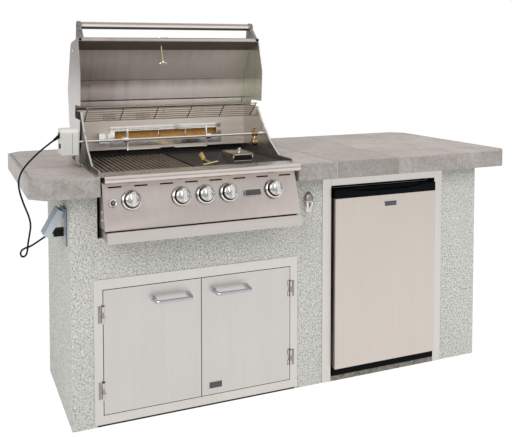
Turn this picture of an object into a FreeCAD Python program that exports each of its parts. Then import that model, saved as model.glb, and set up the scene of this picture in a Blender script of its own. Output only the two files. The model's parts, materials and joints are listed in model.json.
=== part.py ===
import FreeCAD, Part
import os
from math import atan2, cos, degrees, sin, tan

# Outdoor kitchen island: a tiled, stucco-clad island with a built-in gas grill, a rotisserie,
# storage doors and a refrigerator. Millimetres. X runs to the right from the island's centre
# line, Y runs to the back from the front wall's face, Z runs up from the floor. When a piece is
# written, Y is moved so that the origin lies under the centre of the whole object.

# Fits: a pin in its hole, and pieces that rest on or beside each other
RUNNING_FIT = 0.05
SEAT_GAP = 0.3

# Island base
BASE_WIDTH = 1830.0
BASE_DEPTH = 535.0
WALL_HEIGHT = 864.0
WALL_THICKNESS = 20.0
TUBE_SIZE = 30.0
TUBE_WALL = 2.0

# Counter
OVERHANG_SIDE = 147.0
OVERHANG_FRONT = 64.0
OVERHANG_BACK = 215.0
COUNTER_THICKNESS = 69.0
CORNER_CLIP = 54.5
TILE_SIZE = 300.0
GROUT_WIDTH = 3.5
GROUT_RECESS = 1.0
TILE_THICKNESS = 12.0
EDGE_TILE_THICKNESS = 12.0
BED_THICKNESS = 4.0
MITRE_ANGLE = 22.5

# Storage doors and their frame
DOOR_FRAME_FROM_LEFT = 500.0
DOOR_FRAME_WIDTH = 838.0
DOOR_FRAME_HEIGHT = 541.0
DOOR_FRAME_BOTTOM = 8.0
DOOR_BORDER_SIDE = 34.0
DOOR_BORDER_BOTTOM = 34.5
DOOR_BORDER_TOP = 39.0
FRAME_SHEET = 3.0
JAMB_DEPTH = 45.0
WALL_CUT_CLEARANCE = 3.0
DOOR_GAP = 2.0
DOOR_MEETING_GAP = 3.0
DOOR_THICKNESS = 20.0
DOOR_SHEET = 1.5
HANDLE_FROM_DOOR_EDGE = 49.5
HANDLE_POST_SPACING = 141.0
HANDLE_HEIGHT = 453.0
HANDLE_RADIUS = 6.0
HANDLE_POST_RADIUS = 5.0
HANDLE_STAND_OFF = 45.0
HINGE_HEIGHTS = (136.0, 419.5)
HINGE_LENGTH = 64.0
HINGE_RADIUS = 5.0
HINGE_PIN_RADIUS = 2.5
HINGE_TAB = 12.0
HINGE_TAB_SHEET = 2.0
HINGE_INSET = 1.0
KNUCKLE_GAP = 0.2

# Refrigerator
FRIDGE_FROM_RIGHT = 492.5
TRIM_WIDTH = 605.0
TRIM_STILE = 41.0
TRIM_TOP_RAIL = 39.0
TRIM_OPENING_TOP = 823.0
TRIM_RETURN = 40.0
FRIDGE_CUT_INSET = 5.0
SILL_STONE_HEIGHT = 22.0
SILL_STONE_DEPTH = 83.0
KICK_HEIGHT = 34.0
FRIDGE_DOOR_GAP = 9.0
FRIDGE_DOOR_PROUD = 20.0
FRIDGE_DOOR_THICKNESS = 42.0
FRIDGE_STEEL_TOP = 771.0
FRIDGE_CAP_HEIGHT = 39.0
FRIDGE_DOOR_LIFT = 2.0
GASKET_THICKNESS = 6.0
GASKET_WIDTH = 14.0
GASKET_INSET = 18.0
CABINET_GAP = 1.5
CABINET_WALL = 30.0
CABINET_BACK_GAP = 15.0
SHELF_THICKNESS = 5.0
SHELF_COUNT = 3
FOOT_RADIUS = 16.0
FOOT_INSET = 40.0
GRIP_LENGTH = 370.0
GRIP_DEPTH = 16.0
GRIP_HEIGHT = 17.0
BORE_END_GAP = 1.0
FRIDGE_PIVOT_INSET = 10.0
FRIDGE_PIN_RADIUS = 4.0
FRIDGE_BRACKET_SHEET = 3.0

# Grill body
GRILL_FROM_LEFT = 494.5
GRILL_WIDTH = 775.0
CUTOUT_CLEARANCE = 9.0
CUTOUT_BACK = 500.0
NOTCH_BELOW_TOP = 233.0
STEEL = 1.5
FIREBOX_WALL = 2.0
BOX_HOLE_GAP = 1.0
FIREBOX_FRONT = 2.0
FIREBOX_BACK = 470.0
FIREBOX_FLOOR = -181.0
FIREBOX_RIM = 0.0
FLANGE_WIDTH = 23.0
FLANGE_THICKNESS = 3.0
CHEEK_THICKNESS = 7.0
CHEEK_EDGE = ((-20.0, 17.0), (95.0, 17.0), (177.0, 69.0), (254.0, 148.0), (300.0, 205.0))
CHEEK_BACK_TOP = 152.0
RUNNER_BOTTOM = -230.0
RUNNER_WIDTH = 18.0
GREASE_SLOT = 60.0
TAMER_LEDGE = -70.0
GRATE_LEDGE = -12.0
LEDGE_DEPTH = 14.0
LEDGE_SHEET = 2.0

# Control panel, sill and tray, heights measured from the counter top
PANEL_TOP = (-40.0, -22.0)
PANEL_BOTTOM = (-92.0, -188.0)
SILL_FRONT = -95.0
SILL_TOP = 7.0
SILL_HEIGHT = 29.0
SILL_BULLNOSE = 12.0
VENT_COUNT = 8
VENT_LENGTH = 50.0
VENT_HEIGHT = 5.0
VENT_FROM_EDGE = 21.0
VENT_LEVEL = -43.0
VENT_CUT_REACH = 6.0
PANEL_CUT_DEPTH = 4.5
KNOB_LEVEL = -89.0
KNOB_FROM_EDGE = 103.0
KNOB_RADIUS = 26.0
KNOB_HEIGHT = 30.0
KNOB_STAND_OFF = 8.0
KNOB_GRIP_WIDTH = 13.0
KNOB_SKIRT = 10.0
KNOB_SKIRT_TAPER = 2.0
KNOB_GRIP_INSET = 1.0
KNOB_GRIP_TAPER = 3.0
BEZEL_RADIUS = 35.0
BEZEL_THICKNESS = 6.0
BEZEL_TAPER = 3.0
STEM_RADIUS = 4.0
STEM_OUT = 26.0
STEM_HOLE_RADIUS = 8.0
BUTTON_FROM_EDGE = 34.0
BUTTON_LEVEL = -92.0
BUTTON_RADIUS = 9.0
BUTTON_OUT = 4.0
BUTTON_IN = 6.0
BUTTON_TRAVEL = 3.0
SWITCH_RADIUS = 12.0
SWITCH_GAP = 1.5
TRAY_FRONT = -110.0
TRAY_FRONT_HEIGHT = 40.5
TRAY_FACE_INSET = 3.0
TRAY_FRONT_SHEET = 6.0
TRAY_DEPTH = 32.0
TRAY_BACK = 430.0
TRAY_SIDE_GAP = 2.0

# Burners, tamers and grates
MANIFOLD_IN = 36.0
MANIFOLD_RADIUS = 9.0
MANIFOLD_END_GAP = 4.5
MANIFOLD_LUGS = (-190.0, 190.0)
VALVE_RADIUS = 11.0
VALVE_SETBACK = 6.0
BURNER_LEAD = 3.0
JET_GAP = 3.0
BURNER_RADIUS = 13.0
BURNER_BACK = 400.0
TAMER_HALF_WIDTH = 45.0
TAMER_RISE = 24.0
TAMER_SHEET = 2.25
TAMER_LEAD = 4.0
GRATE_FRONT = 12.0
GRATE_BACK = 425.0
GRATE_TOP = 2.0
GRATE_SPLIT = 9.0
GRATE_EDGE_GAP = 8.0
GRATE_MIDDLE_GAP = 7.0
GRIDDLE_GAP = 4.0
GRATE_BARS = 19
BAR_WIDTH = 9.0
BAR_HEIGHT = 12.0
BAR_LIFT = 2.0
GRIDDLE_RIM = 4.0
GRIDDLE_WALL = 5.0
SPIT_LEVEL = 94.0
SPIT_Y = 232.0
SPIT_RADIUS = 4.8
SPIT_SLOT_PLAY = 0.7
SPIT_PAST_LEFT = 55.0
SPIT_PAST_RIGHT = 16.0
SPIT_COLLAR_RADIUS = 8.6
SPIT_COLLAR_LENGTH = 11.0
SPIT_END_GAP = 1.0

# Hood, in its open rest pose: (distance behind the front wall, height above the counter)
HOOD_OVERLAP = 12.5
HOOD_PIVOT = (350.0, 88.0)
HOOD_LIP = (303.0, 504.0)
HOOD_CROWN = (462.0, 484.0)
HOOD_BACK = (543.0, 285.0)
HOOD_TAIL = (486.0, 15.0)
HOOD_BEND = 42.0
HOOD_SIDE_SHEET = 3.0
HOOD_SIDE_GAP = 0.075
HOOD_SIDE_END_GAP = 2.0
HOOD_BEND_STEPS = 6
HOOD_SIDE_EDGE = (
    (305.0, 487.0), (269.0, 358.0), (276.0, 239.0), (287.0, 130.0), (300.0, 67.0), (330.0, 31.0),
)
LINER_POINTS = ((303.0, 501.0), (309.0, 488.0), (400.0, 455.0), (474.0, 322.0), (483.0, 236.0))
NOTCH_BOTTOM = 175.0
NOTCH_HEIGHT = 55.0
NOTCH_END = 384.0
NOTCH_START = 200.0
NOTCH_CHAMFER = 6.0
LINER_BEND = 4.0
LINER_CLOSING_DROP = 3.0
PIVOT_RADIUS = 6.0
PIVOT_HEAD_RADIUS = 9.6
HANDLE_CENTRE = (365.0, 554.0)
HANDLE_TUBE_RADIUS = 15.0
HANDLE_FROM_EDGE = 25.0
BRACKET_SHEET = 17.0
BRACKET_BASE = (305.0, 392.0)
BRACKET_TOP_HALF = 18.0
THERMOMETER_RADIUS = 32.0
THERMOMETER_BODY = 9.0
DIAL_FROM_MIDDLE = 20.0
DIAL_FROM_CENTRE = 34.0
WING_NUT_SPAN = (93.0, 101.0)
WING_NUT_RADIUS = 9.0
PROBE_HOLE_REACH = 5.0
PROBE_RADIUS = 3.0
PROBE_LENGTH = 110.0
BUMPER_RADIUS = 5.5
BUMPER_HEIGHT = 10.0
BUMPER_EDGE_GAP = 3.0
BUMPER_SIDE_GAP = 1.0

# Rear panel and infrared burner
PANEL_Y = 437.0
PANEL_SPAN = (27.0, 201.0)
BURNER_FRAME_X = (-242.5, 272.5)
BURNER_FRAME_Z = (40.0, 127.0)
BURNER_BORDER = 22.0
BURNER_PROUD = 3.0
BURNER_DEPTH = 28.0
CERAMIC_THICKNESS = 6.0
BURNER_GAP = 1.0
FEED_BOX_X = (-294.5, -244.5)
FEED_BOX_Z = (57.0, 102.0)
FEED_BOX_DEPTH = 27.0
VENT_ROWS = ((-270.0, 7), (-124.5, 8))
VENT_PITCH = 8.0
VENT_SLOT = (4.0, 33.0)
VENT_SLOT_LEVEL = 152.0

# Warming rack at rest: rear pivot rod and front rod, (distance behind the front wall, height)
RACK_PIVOT = (340.0, 164.0)
RACK_FRONT = (272.0, 222.0)
RACK_RODS = 7
RACK_WIRE = 2.5
RACK_CROSS_WIRE = 2.0
RACK_CROSS_DROP = 1.5
RACK_PIN_REACH = 6.0
RACK_CROSS_RODS = 6
RACK_SIDE_GAP = 12.5

# Rotisserie
MOTOR_FROM_GRILL = 102.0
MOTOR_WIDTH = 67.0
MOTOR_Y = (187.0, 277.0)
MOTOR_Z = (46.0, 149.0)
MOTOR_CHAMFER = 12.0
BRACKET_WIDTH = 70.0
BRACKET_THICKNESS = 3.0
BRACKET_END_GAP = 1.0
FORK_REACH = 44.0
FORK_TINE_RADIUS = 2.7
FORK_TINE_LENGTH = 125.0
FORK_BAR_HALF = 3.0
FORK_TIP = (14.0, 0.6)
FORK_HUB_RADIUS = 11.0
FORK_HUB_LENGTH = 22.0
FORK_POSITIONS = ((-216.0, 1.0), (117.0, -1.0))
WEIGHT_FROM_EDGE = 44.0
WEIGHT_RADIUS = 16.0
WEIGHT_DROP = 37.0
WEIGHT_HALF = 12.0
WEIGHT_ARM_RADIUS = 4.0
WEIGHT_SCREW_UP = 29.6

# Smoker box and its lid
SMOKER_X = (174.5, 262.5)
SMOKER_Y = (77.0, 187.0)
SMOKER_HEIGHT = 30.0
SMOKER_SHEET = 2.0
LID_THICKNESS = 3.0
LID_OVERHANG = 2.0
LID_KNOB_RADIUS = 7.0
LID_KNOB_HEIGHT = 18.0

# Wall outlet
OUTLET_Y = 102.0
OUTLET_BELOW_RIM = 132.0
PLATE_WIDTH = 80.0
PLATE_HEIGHT = 130.0
PLATE_THICKNESS = 6.0
BOX_WIDTH = 54.0
BOX_HEIGHT = 96.0
BOX_DEPTH = 48.0
BOX_WALL = 2.0
RECEPTACLE_WIDTH = 34.0
RECEPTACLE_HEIGHT = 68.0
RECEPTACLE_SPACING = 38.0
RECEPTACLE_PROUD = 1.0
SLOT_WIDTH = 2.0
SLOT_HEIGHT = 8.0
SLOT_GAP = 12.0
LID_HINGE_OUT = 10.0
LID_HINGE_UP = 69.0
LID_HINGE_RADIUS = 4.0
LID_PIN_RADIUS = 1.5
LID_LENGTH = 114.0
LID_WIDTH = 74.0
LID_DEPTH = 24.0
LID_WALL = 2.0
LID_OPEN_ANGLE = 30.0
LID_SWING_ROOM = 3.0
LID_WEB_END = 1.0
EAR_LAP = 2.0
CORD_SLOT = 26.0
PLUG_BODY = 28.0
PLUG_LENGTH = 36.0
BLADE_LENGTH = 14.0
BLADE_END_GAP = 2.0
BLADE_SIZE = (1.5, 6.5)

# Cord, from the motor to the plug: (X, Y, height from the counter top). X is counted from the
# motor's outer face at first, and then from the base's left edge.
CORD_DIAMETER = 7.0
CORD_ARC_SHARE = 0.45
CORD_FROM_MOTOR = (
    (-24.0, 228.0, 104.0),
    (-71.0, 195.0, 78.0),
    (-113.0, 150.0, 52.0),
)
CORD_FROM_WALL = (
    (-145.0, 112.0, 24.0),
    (-163.0, 97.0, -5.0),
    (-167.0, 94.0, -33.0),
    (-161.0, 95.0, -68.0),
    (-145.5, 98.0, -115.0),
    (-129.5, 101.0, -155.0),
    (-123.5, 104.0, -188.0),
    (-128.0, 108.0, -220.0),
    (-134.0, 112.0, -255.0),
    (-136.0, 111.0, -278.0),
    (-139.5, 109.0, -293.0),
    (-148.5, 106.5, -301.5),
    (-159.0, 104.0, -298.0),
    (-163.0, 101.5, -285.0),
    (-157.5, 99.0, -273.0),
    (-145.0, 97.0, -266.0),
    (-126.0, 96.0, -262.0),
    (-103.5, 97.0, -249.0),
    (-78.0, 99.5, -235.0),
    (-58.0, 102.0, -224.0),
)
RELIEF_LENGTH = 34.0
RELIEF_RADII = (4.4, 8.0)
PLUG_TAIL = 22.0
PLUG_TAIL_LAP = 1.0
PLUG_TAIL_RADIUS = 9.0

# Bottle opener
OPENER_FROM_LEFT = 968.5
OPENER_WIDTH = 61.0
OPENER_SPAN = (723.0, 808.0)
OPENER_PLATE = 4.0
OPENER_REACH = 22.0
OPENER_LIP = 5.0
OPENER_LIP_INSET = 12.0
OPENER_LIP_DROP = 38.0
OPENER_HOOK = 8.0

# Grate lifter lying on the griddle
LIFTER_HANDLE = ((125.5, 314.0), (65.5, 108.0))
LIFTER_CLAW = ((21.5, 16.0), (108.5, 76.0))
LIFTER_HANDLE_WIDTH = 20.0
LIFTER_BAR_WIDTH = 9.0
LIFTER_THICKNESS = 6.0
LIFTER_SHANK_START = 0.8

# Sizes worked out from the ones above
V = FreeCAD.Vector
BASE_LEFT = -BASE_WIDTH / 2
BASE_RIGHT = BASE_WIDTH / 2
COUNTER_TOP = WALL_HEIGHT + COUNTER_THICKNESS
COUNTER_LEFT = BASE_LEFT - OVERHANG_SIDE
COUNTER_RIGHT = BASE_RIGHT + OVERHANG_SIDE
COUNTER_FRONT = -OVERHANG_FRONT
COUNTER_BACK = BASE_DEPTH + OVERHANG_BACK
ORIGIN_Y = (TRAY_FRONT + COUNTER_BACK) / 2
TILE_PITCH = TILE_SIZE + GROUT_WIDTH
DOOR_CENTRE = BASE_LEFT + DOOR_FRAME_FROM_LEFT
FRIDGE_CENTRE = BASE_RIGHT - FRIDGE_FROM_RIGHT
GRILL_CENTRE = BASE_LEFT + GRILL_FROM_LEFT
GRILL_LEFT = GRILL_CENTRE - GRILL_WIDTH / 2
GRILL_RIGHT = GRILL_CENTRE + GRILL_WIDTH / 2
CUTOUT_LEFT = GRILL_LEFT - CUTOUT_CLEARANCE
CUTOUT_RIGHT = GRILL_RIGHT + CUTOUT_CLEARANCE
INNER_FRONT = WALL_THICKNESS
INNER_BACK = BASE_DEPTH - WALL_THICKNESS
MID_POST = (DOOR_CENTRE + DOOR_FRAME_WIDTH / 2 + FRIDGE_CENTRE - TRIM_WIDTH / 2) / 2
GRIDDLE_TOP = COUNTER_TOP + GRATE_TOP
PANEL_LEAN = atan2(PANEL_TOP[0] - PANEL_BOTTOM[0], PANEL_TOP[1] - PANEL_BOTTOM[1])
PANEL_OUT = V(0, -cos(PANEL_LEAN), sin(PANEL_LEAN))
SPIT_HEIGHT = COUNTER_TOP + SPIT_LEVEL
OUTER_BURNER = GRILL_WIDTH / 2 - KNOB_FROM_EDGE
BURNER_OFFSETS = (-OUTER_BURNER, -OUTER_BURNER / 3, OUTER_BURNER / 3, OUTER_BURNER)
KNOB_OFFSETS = BURNER_OFFSETS[:2] + (0.0,) + BURNER_OFFSETS[2:]
BUTTON_X = GRILL_LEFT + BUTTON_FROM_EDGE
HOOD_WIDTH = GRILL_WIDTH + 2 * HOOD_OVERLAP
RACK_HALF_WIDTH = GRILL_WIDTH / 2 - RACK_SIDE_GAP
MOTOR_LEFT = GRILL_LEFT - MOTOR_FROM_GRILL
MOTOR_RIGHT = MOTOR_LEFT + MOTOR_WIDTH

PIECES = {}


def keep(name, shapes):
    """Hold a finished piece, or a group of like solids, under its name."""
    if isinstance(shapes, (list, tuple)):
        shapes = Part.makeCompound(list(shapes))
    PIECES[name] = shapes


def block(x0, x1, y0, y1, z0, z1):
    """Box between two corners."""
    return Part.makeBox(x1 - x0, y1 - y0, z1 - z0, V(x0, y0, z0))


def rod(start, end, radius):
    """Round bar between two points."""
    start, end = V(start), V(end)
    return Part.makeCylinder(radius, (end - start).Length, start, end - start)


def cross_rod(x0, x1, y, z, radius):
    """Round bar that lies along X."""
    return rod(V(x0, y, z), V(x1, y, z), radius)


def upright_rod(x, y, z0, z1, radius):
    """Round bar that stands along Z."""
    return rod(V(x, y, z0), V(x, y, z1), radius)


def between(a, b):
    """Two places, the lower one first."""
    return min(a, b), max(a, b)


def cone(start, end, start_radius, end_radius):
    """Tapered round bar between two points."""
    start, end = V(start), V(end)
    return Part.makeCone(start_radius, end_radius, (end - start).Length, start, end - start)


def join(shapes):
    """Weld shapes that touch into one solid."""
    shapes = list(shapes)
    return shapes[0].fuse(shapes[1:]).removeSplitter()


def side_prism(outline, x0, x1):
    """Extrude an outline of (y, z) points along X."""
    points = [V(x0, y, z) for y, z in outline]
    return Part.Face(Part.makePolygon(points + points[:1])).extrude(V(x1 - x0, 0, 0))


def flat_prism(outline, z0, z1):
    """Extrude an outline of (x, y) points upwards."""
    points = [V(x, y, z0) for x, y in outline]
    return Part.Face(Part.makePolygon(points + points[:1])).extrude(V(0, 0, z1 - z0))


def bent_sheet(points, thickness, bend, x0, x1):
    """Folded sheet along X. The (y, z) points are one face, and the metal lies to their left."""
    path = [V(x0, y, z) for y, z in points]
    runs = [(b - a).normalize() for a, b in zip(path, path[1:])]
    normals = [V(0, -run.z, run.y) for run in runs]
    near, far = [], []
    start, far_start = path[0], path[0] + normals[0] * thickness
    folds = zip(path[1:], runs, runs[1:], normals, normals[1:])
    for corner, before, after, side, next_side in folds:
        turn = before.getAngle(after)
        left = 1 if before.y * after.z - before.z * after.y > 0 else -1
        radius = bend + thickness if left > 0 else bend
        reach = radius * tan(turn / 2)
        enter, leave = corner - before * reach, corner + after * reach
        centre = enter + side * (left * radius)
        middle = (corner - centre).normalize()
        far_enter, far_leave = enter + side * thickness, leave + next_side * thickness
        near += [Part.makeLine(start, enter), Part.Arc(enter, centre + middle * radius, leave).toShape()]
        far_middle = centre + middle * (radius - left * thickness)
        far += [Part.makeLine(far_start, far_enter), Part.Arc(far_enter, far_middle, far_leave).toShape()]
        start, far_start = leave, far_leave
    end, far_end = path[-1], path[-1] + normals[-1] * thickness
    near.append(Part.makeLine(start, end))
    far.append(Part.makeLine(far_start, far_end))
    caps = [Part.makeLine(path[0], path[0] + normals[0] * thickness), Part.makeLine(end, far_end)]
    outline = Part.Wire(Part.__sortEdges__(near + far + caps))
    return Part.Face(outline).extrude(V(x1 - x0, 0, 0))


def square_tube(x0, x1, y0, y1, z0, z1):
    """Hollow square tube, open at the ends of its longest side."""
    sizes = (x1 - x0, y1 - y0, z1 - z0)
    inset = [0 if size == max(sizes) else TUBE_WALL for size in sizes]
    dx, dy, dz = inset
    hollow = block(x0 + dx, x1 - dx, y0 + dy, y1 - dy, z0 + dz, z1 - dz)
    return block(x0, x1, y0, y1, z0, z1).cut(hollow)


def counter_outline(inset):
    """Counter's eight-sided outline, drawn in by a distance."""
    clip = CORNER_CLIP - inset * (2 - 2 ** 0.5)
    left, right = COUNTER_LEFT + inset, COUNTER_RIGHT - inset
    front, back = COUNTER_FRONT + inset, COUNTER_BACK - inset
    return [
        (left + clip, front), (right - clip, front), (right, front + clip), (right, back - clip),
        (right - clip, back), (left + clip, back), (left, back - clip), (left, front + clip),
    ]


def steel_frame():
    """Square tubes that carry the walls, the counter and the grill."""
    posts_x = (BASE_LEFT + WALL_THICKNESS, MID_POST - TUBE_SIZE / 2, BASE_RIGHT - WALL_THICKNESS - TUBE_SIZE)
    rows_y = (INNER_FRONT, INNER_BACK - TUBE_SIZE)
    tubes = []
    for x in posts_x:
        for y in rows_y:
            tubes.append(square_tube(x, x + TUBE_SIZE, y, y + TUBE_SIZE, 0, WALL_HEIGHT))
        for z in (0, WALL_HEIGHT - TUBE_SIZE):
            tubes.append(square_tube(x, x + TUBE_SIZE, rows_y[0] + TUBE_SIZE, rows_y[1], z, z + TUBE_SIZE))
    bays = [(a + TUBE_SIZE, b) for a, b in zip(posts_x, posts_x[1:])]
    for x0, x1 in bays:
        for z in (0, WALL_HEIGHT - TUBE_SIZE):
            tubes.append(square_tube(x0, x1, rows_y[1], rows_y[1] + TUBE_SIZE, z, z + TUBE_SIZE))
    top = WALL_HEIGHT
    tubes.append(square_tube(*bays[1], rows_y[0], rows_y[0] + TUBE_SIZE, top - TUBE_SIZE, top))
    shelf_top = COUNTER_TOP - NOTCH_BELOW_TOP
    for y in rows_y:
        tubes.append(square_tube(*bays[0], y, y + TUBE_SIZE, shelf_top - TUBE_SIZE, shelf_top))
    keep("steel_frame", tubes)


def walls():
    """Stucco-faced boards, with the openings for the grill, the doors and the refrigerator."""
    front = block(BASE_LEFT, BASE_RIGHT, 0, WALL_THICKNESS, 0, WALL_HEIGHT)
    door_half = DOOR_FRAME_WIDTH / 2 - DOOR_BORDER_SIDE + FRAME_SHEET + WALL_CUT_CLEARANCE
    door_top = DOOR_FRAME_BOTTOM + DOOR_FRAME_HEIGHT - DOOR_BORDER_TOP + FRAME_SHEET + WALL_CUT_CLEARANCE
    fridge_half = TRIM_WIDTH / 2 - FRIDGE_CUT_INSET
    fridge_top = TRIM_OPENING_TOP + TRIM_TOP_RAIL - FRIDGE_CUT_INSET
    openings = [
        block(DOOR_CENTRE - door_half, DOOR_CENTRE + door_half, 0, WALL_THICKNESS, 0, door_top),
        block(FRIDGE_CENTRE - fridge_half, FRIDGE_CENTRE + fridge_half, 0, WALL_THICKNESS, 0, fridge_top),
        block(CUTOUT_LEFT, CUTOUT_RIGHT, 0, WALL_THICKNESS, COUNTER_TOP - NOTCH_BELOW_TOP, WALL_HEIGHT),
    ]
    keep("front_wall", front.cut(openings))
    outlet_z = WALL_HEIGHT - OUTLET_BELOW_RIM
    hole_half_y, hole_half_z = BOX_WIDTH / 2 + BOX_HOLE_GAP, BOX_HEIGHT / 2 + BOX_HOLE_GAP
    left = block(BASE_LEFT, BASE_LEFT + WALL_THICKNESS, INNER_FRONT, INNER_BACK, 0, WALL_HEIGHT)
    left = left.cut(block(
        BASE_LEFT, BASE_LEFT + WALL_THICKNESS, OUTLET_Y - hole_half_y, OUTLET_Y + hole_half_y,
        outlet_z - hole_half_z, outlet_z + hole_half_z,
    ))
    right = block(BASE_RIGHT - WALL_THICKNESS, BASE_RIGHT, INNER_FRONT, INNER_BACK, 0, WALL_HEIGHT)
    keep("side_walls", [left, right])
    keep("back_wall", block(BASE_LEFT, BASE_RIGHT, INNER_BACK, BASE_DEPTH, 0, WALL_HEIGHT))


def tile_joints():
    """X and Y places of the grout lines, counted from the counter's front left corner."""
    lines_x, lines_y = [], []
    x = COUNTER_LEFT + TILE_PITCH
    while x < COUNTER_RIGHT - EDGE_TILE_THICKNESS - TILE_PITCH / 4:
        lines_x.append(x)
        x += TILE_PITCH
    y = COUNTER_FRONT + TILE_PITCH
    while y < COUNTER_BACK - EDGE_TILE_THICKNESS - TILE_PITCH / 4:
        lines_y.append(y)
        y += TILE_PITCH
    return lines_x, lines_y


def counter():
    """Deck, mortar and grout, top tiles and edge tiles, all open where the grill drops in."""
    deck_top = COUNTER_TOP - TILE_THICKNESS - BED_THICKNESS
    cutout = block(CUTOUT_LEFT, CUTOUT_RIGHT, COUNTER_FRONT, CUTOUT_BACK, WALL_HEIGHT, COUNTER_TOP)
    field = counter_outline(EDGE_TILE_THICKNESS)
    keep("counter_deck", flat_prism(field, WALL_HEIGHT, deck_top).cut(cutout))

    lines_x, lines_y = tile_joints()
    half = GROUT_WIDTH / 2
    tile_bottom = COUNTER_TOP - TILE_THICKNESS
    low, top = WALL_HEIGHT, COUNTER_TOP
    joints = [block(x - half, x + half, COUNTER_FRONT, COUNTER_BACK, low, top) for x in lines_x]
    joints += [block(COUNTER_LEFT, COUNTER_RIGHT, y - half, y + half, low, top) for y in lines_y]
    tiled = flat_prism(counter_outline(EDGE_TILE_THICKNESS + GROUT_WIDTH), tile_bottom, COUNTER_TOP)
    tiles = tiled.cut(joints + [cutout])
    keep("top_tiles", tiles.Solids)

    bed = flat_prism(field, deck_top, COUNTER_TOP - GROUT_RECESS).cut([cutout] + tiles.Solids)
    inner_field = flat_prism(field, low, top)
    rim = flat_prism(counter_outline(0), low, top).cut([inner_field, cutout])
    middle_y = (COUNTER_FRONT + COUNTER_BACK) / 2
    reach = EDGE_TILE_THICKNESS * 2
    for x, y in field:
        mitre = block(-reach, reach, -half / 2, half / 2, low, top)
        side_x, side_y = (1 if x > 0 else -1), (1 if y > middle_y else -1)
        on_side = abs(x) > COUNTER_RIGHT - EDGE_TILE_THICKNESS - half
        angle = MITRE_ANGLE if on_side else 90 - MITRE_ANGLE
        mitre.rotate(V(0, 0, 0), V(0, 0, 1), angle * side_x * side_y)
        mitre.translate(V(x, y, 0))
        joints.append(mitre)
    keep("edge_tiles", rim.cut(joints).Solids)

    shallow = flat_prism(counter_outline(GROUT_RECESS), low + GROUT_RECESS, top - GROUT_RECESS)
    shallow = shallow.cut([inner_field, cutout])
    fillings = shallow.common(Part.makeCompound(joints))
    keep("grout_bed", [bed] + fillings.Solids)


def door_frame():
    """Flange on the wall, with a jamb that lines the opening."""
    outer_left, outer_right = DOOR_CENTRE - DOOR_FRAME_WIDTH / 2, DOOR_CENTRE + DOOR_FRAME_WIDTH / 2
    left, right, bottom, top = door_opening()
    frame_top = DOOR_FRAME_BOTTOM + DOOR_FRAME_HEIGHT
    flange = block(outer_left, outer_right, -FRAME_SHEET, 0, DOOR_FRAME_BOTTOM, frame_top)
    jamb = block(
        left - FRAME_SHEET, right + FRAME_SHEET, -FRAME_SHEET, JAMB_DEPTH - FRAME_SHEET,
        bottom - FRAME_SHEET, top + FRAME_SHEET,
    )
    opening = block(left, right, -FRAME_SHEET, JAMB_DEPTH, bottom, top)
    keep("door_frame", join([flange, jamb]).cut(opening))


def door_opening():
    """Left, right, bottom and top of the opening that the two doors close."""
    half = DOOR_FRAME_WIDTH / 2 - DOOR_BORDER_SIDE
    bottom = DOOR_FRAME_BOTTOM + DOOR_BORDER_BOTTOM
    top = DOOR_FRAME_BOTTOM + DOOR_FRAME_HEIGHT - DOOR_BORDER_TOP
    return DOOR_CENTRE - half, DOOR_CENTRE + half, bottom, top


def hinge_axis(side):
    """X and Y of a storage door's hinge line; side is -1 for the left door."""
    x = DOOR_CENTRE + side * (DOOR_FRAME_WIDTH / 2 - DOOR_BORDER_SIDE + HINGE_INSET)
    return x, -FRAME_SHEET - HINGE_RADIUS - RUNNING_FIT * 2


def storage_doors():
    """Two pan-shaped doors with back panels, bar handles and their halves of the hinges."""
    pins = []
    for side, name in ((-1, "left_door"), (1, "right_door")):
        left, right, bottom, top = door_opening()
        inner = DOOR_CENTRE + side * DOOR_MEETING_GAP / 2
        outer = (left if side < 0 else right) - side * DOOR_GAP
        x0, x1 = between(inner, outer)
        z0, z1 = bottom + DOOR_GAP, top - DOOR_GAP
        y0, y1 = -FRAME_SHEET, DOOR_THICKNESS - FRAME_SHEET
        inside = (x0 + DOOR_SHEET, x1 - DOOR_SHEET)
        inside_z = (z0 + DOOR_SHEET, z1 - DOOR_SHEET)
        pan = block(x0, x1, y0, y1, z0, z1).cut(block(*inside, y0 + DOOR_SHEET, y1, *inside_z))
        panel = block(*inside, y1 - DOOR_SHEET * 2, y1 - DOOR_SHEET, *inside_z)
        leaves = []
        for centre in HINGE_HEIGHTS:
            pin, barrels = door_hinge(side, centre)
            pins.append(pin)
            leaves += barrels
        keep(name, [join([pan] + leaves), panel, bar_handle(side)])
    keep("door_hinge_pins", pins)


def door_hinge(side, centre):
    """One hinge: the frame's knuckle with its pin, and the door's two barrels."""
    x, y = hinge_axis(side)
    low, high = centre - HINGE_LENGTH / 2, centre + HINGE_LENGTH / 2
    third = HINGE_LENGTH / 3
    middle = (low + third, high - third)
    pin = join([
        upright_rod(x, y, low, high, HINGE_PIN_RADIUS),
        upright_rod(x, y, *middle, HINGE_RADIUS),
        hinge_tab(side, *middle, True),
    ])
    barrels = []
    for start, end in ((low, middle[0]), (middle[1], high)):
        span = (start + KNUCKLE_GAP, end - KNUCKLE_GAP)
        barrel = join([upright_rod(x, y, *span, HINGE_RADIUS), hinge_tab(side, *span, False)])
        barrels.append(barrel.cut(upright_rod(x, y, *span, HINGE_PIN_RADIUS + RUNNING_FIT)))
    return pin, barrels


def hinge_tab(side, z0, z1, on_frame):
    """Flat tab from a knuckle to the frame, or to the door across the gap between them."""
    x, _ = hinge_axis(side)
    way = side if on_frame else -side
    front = -FRAME_SHEET - HINGE_TAB_SHEET
    tab = block(*between(x, x + way * HINGE_TAB), front, -FRAME_SHEET, z0, z1)
    if on_frame:
        return tab
    over_gap = between(x, x + way * (DOOR_GAP + HINGE_INSET))
    return tab.cut(block(*over_gap, -FRAME_SHEET - RUNNING_FIT, -FRAME_SHEET, z0, z1))


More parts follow.
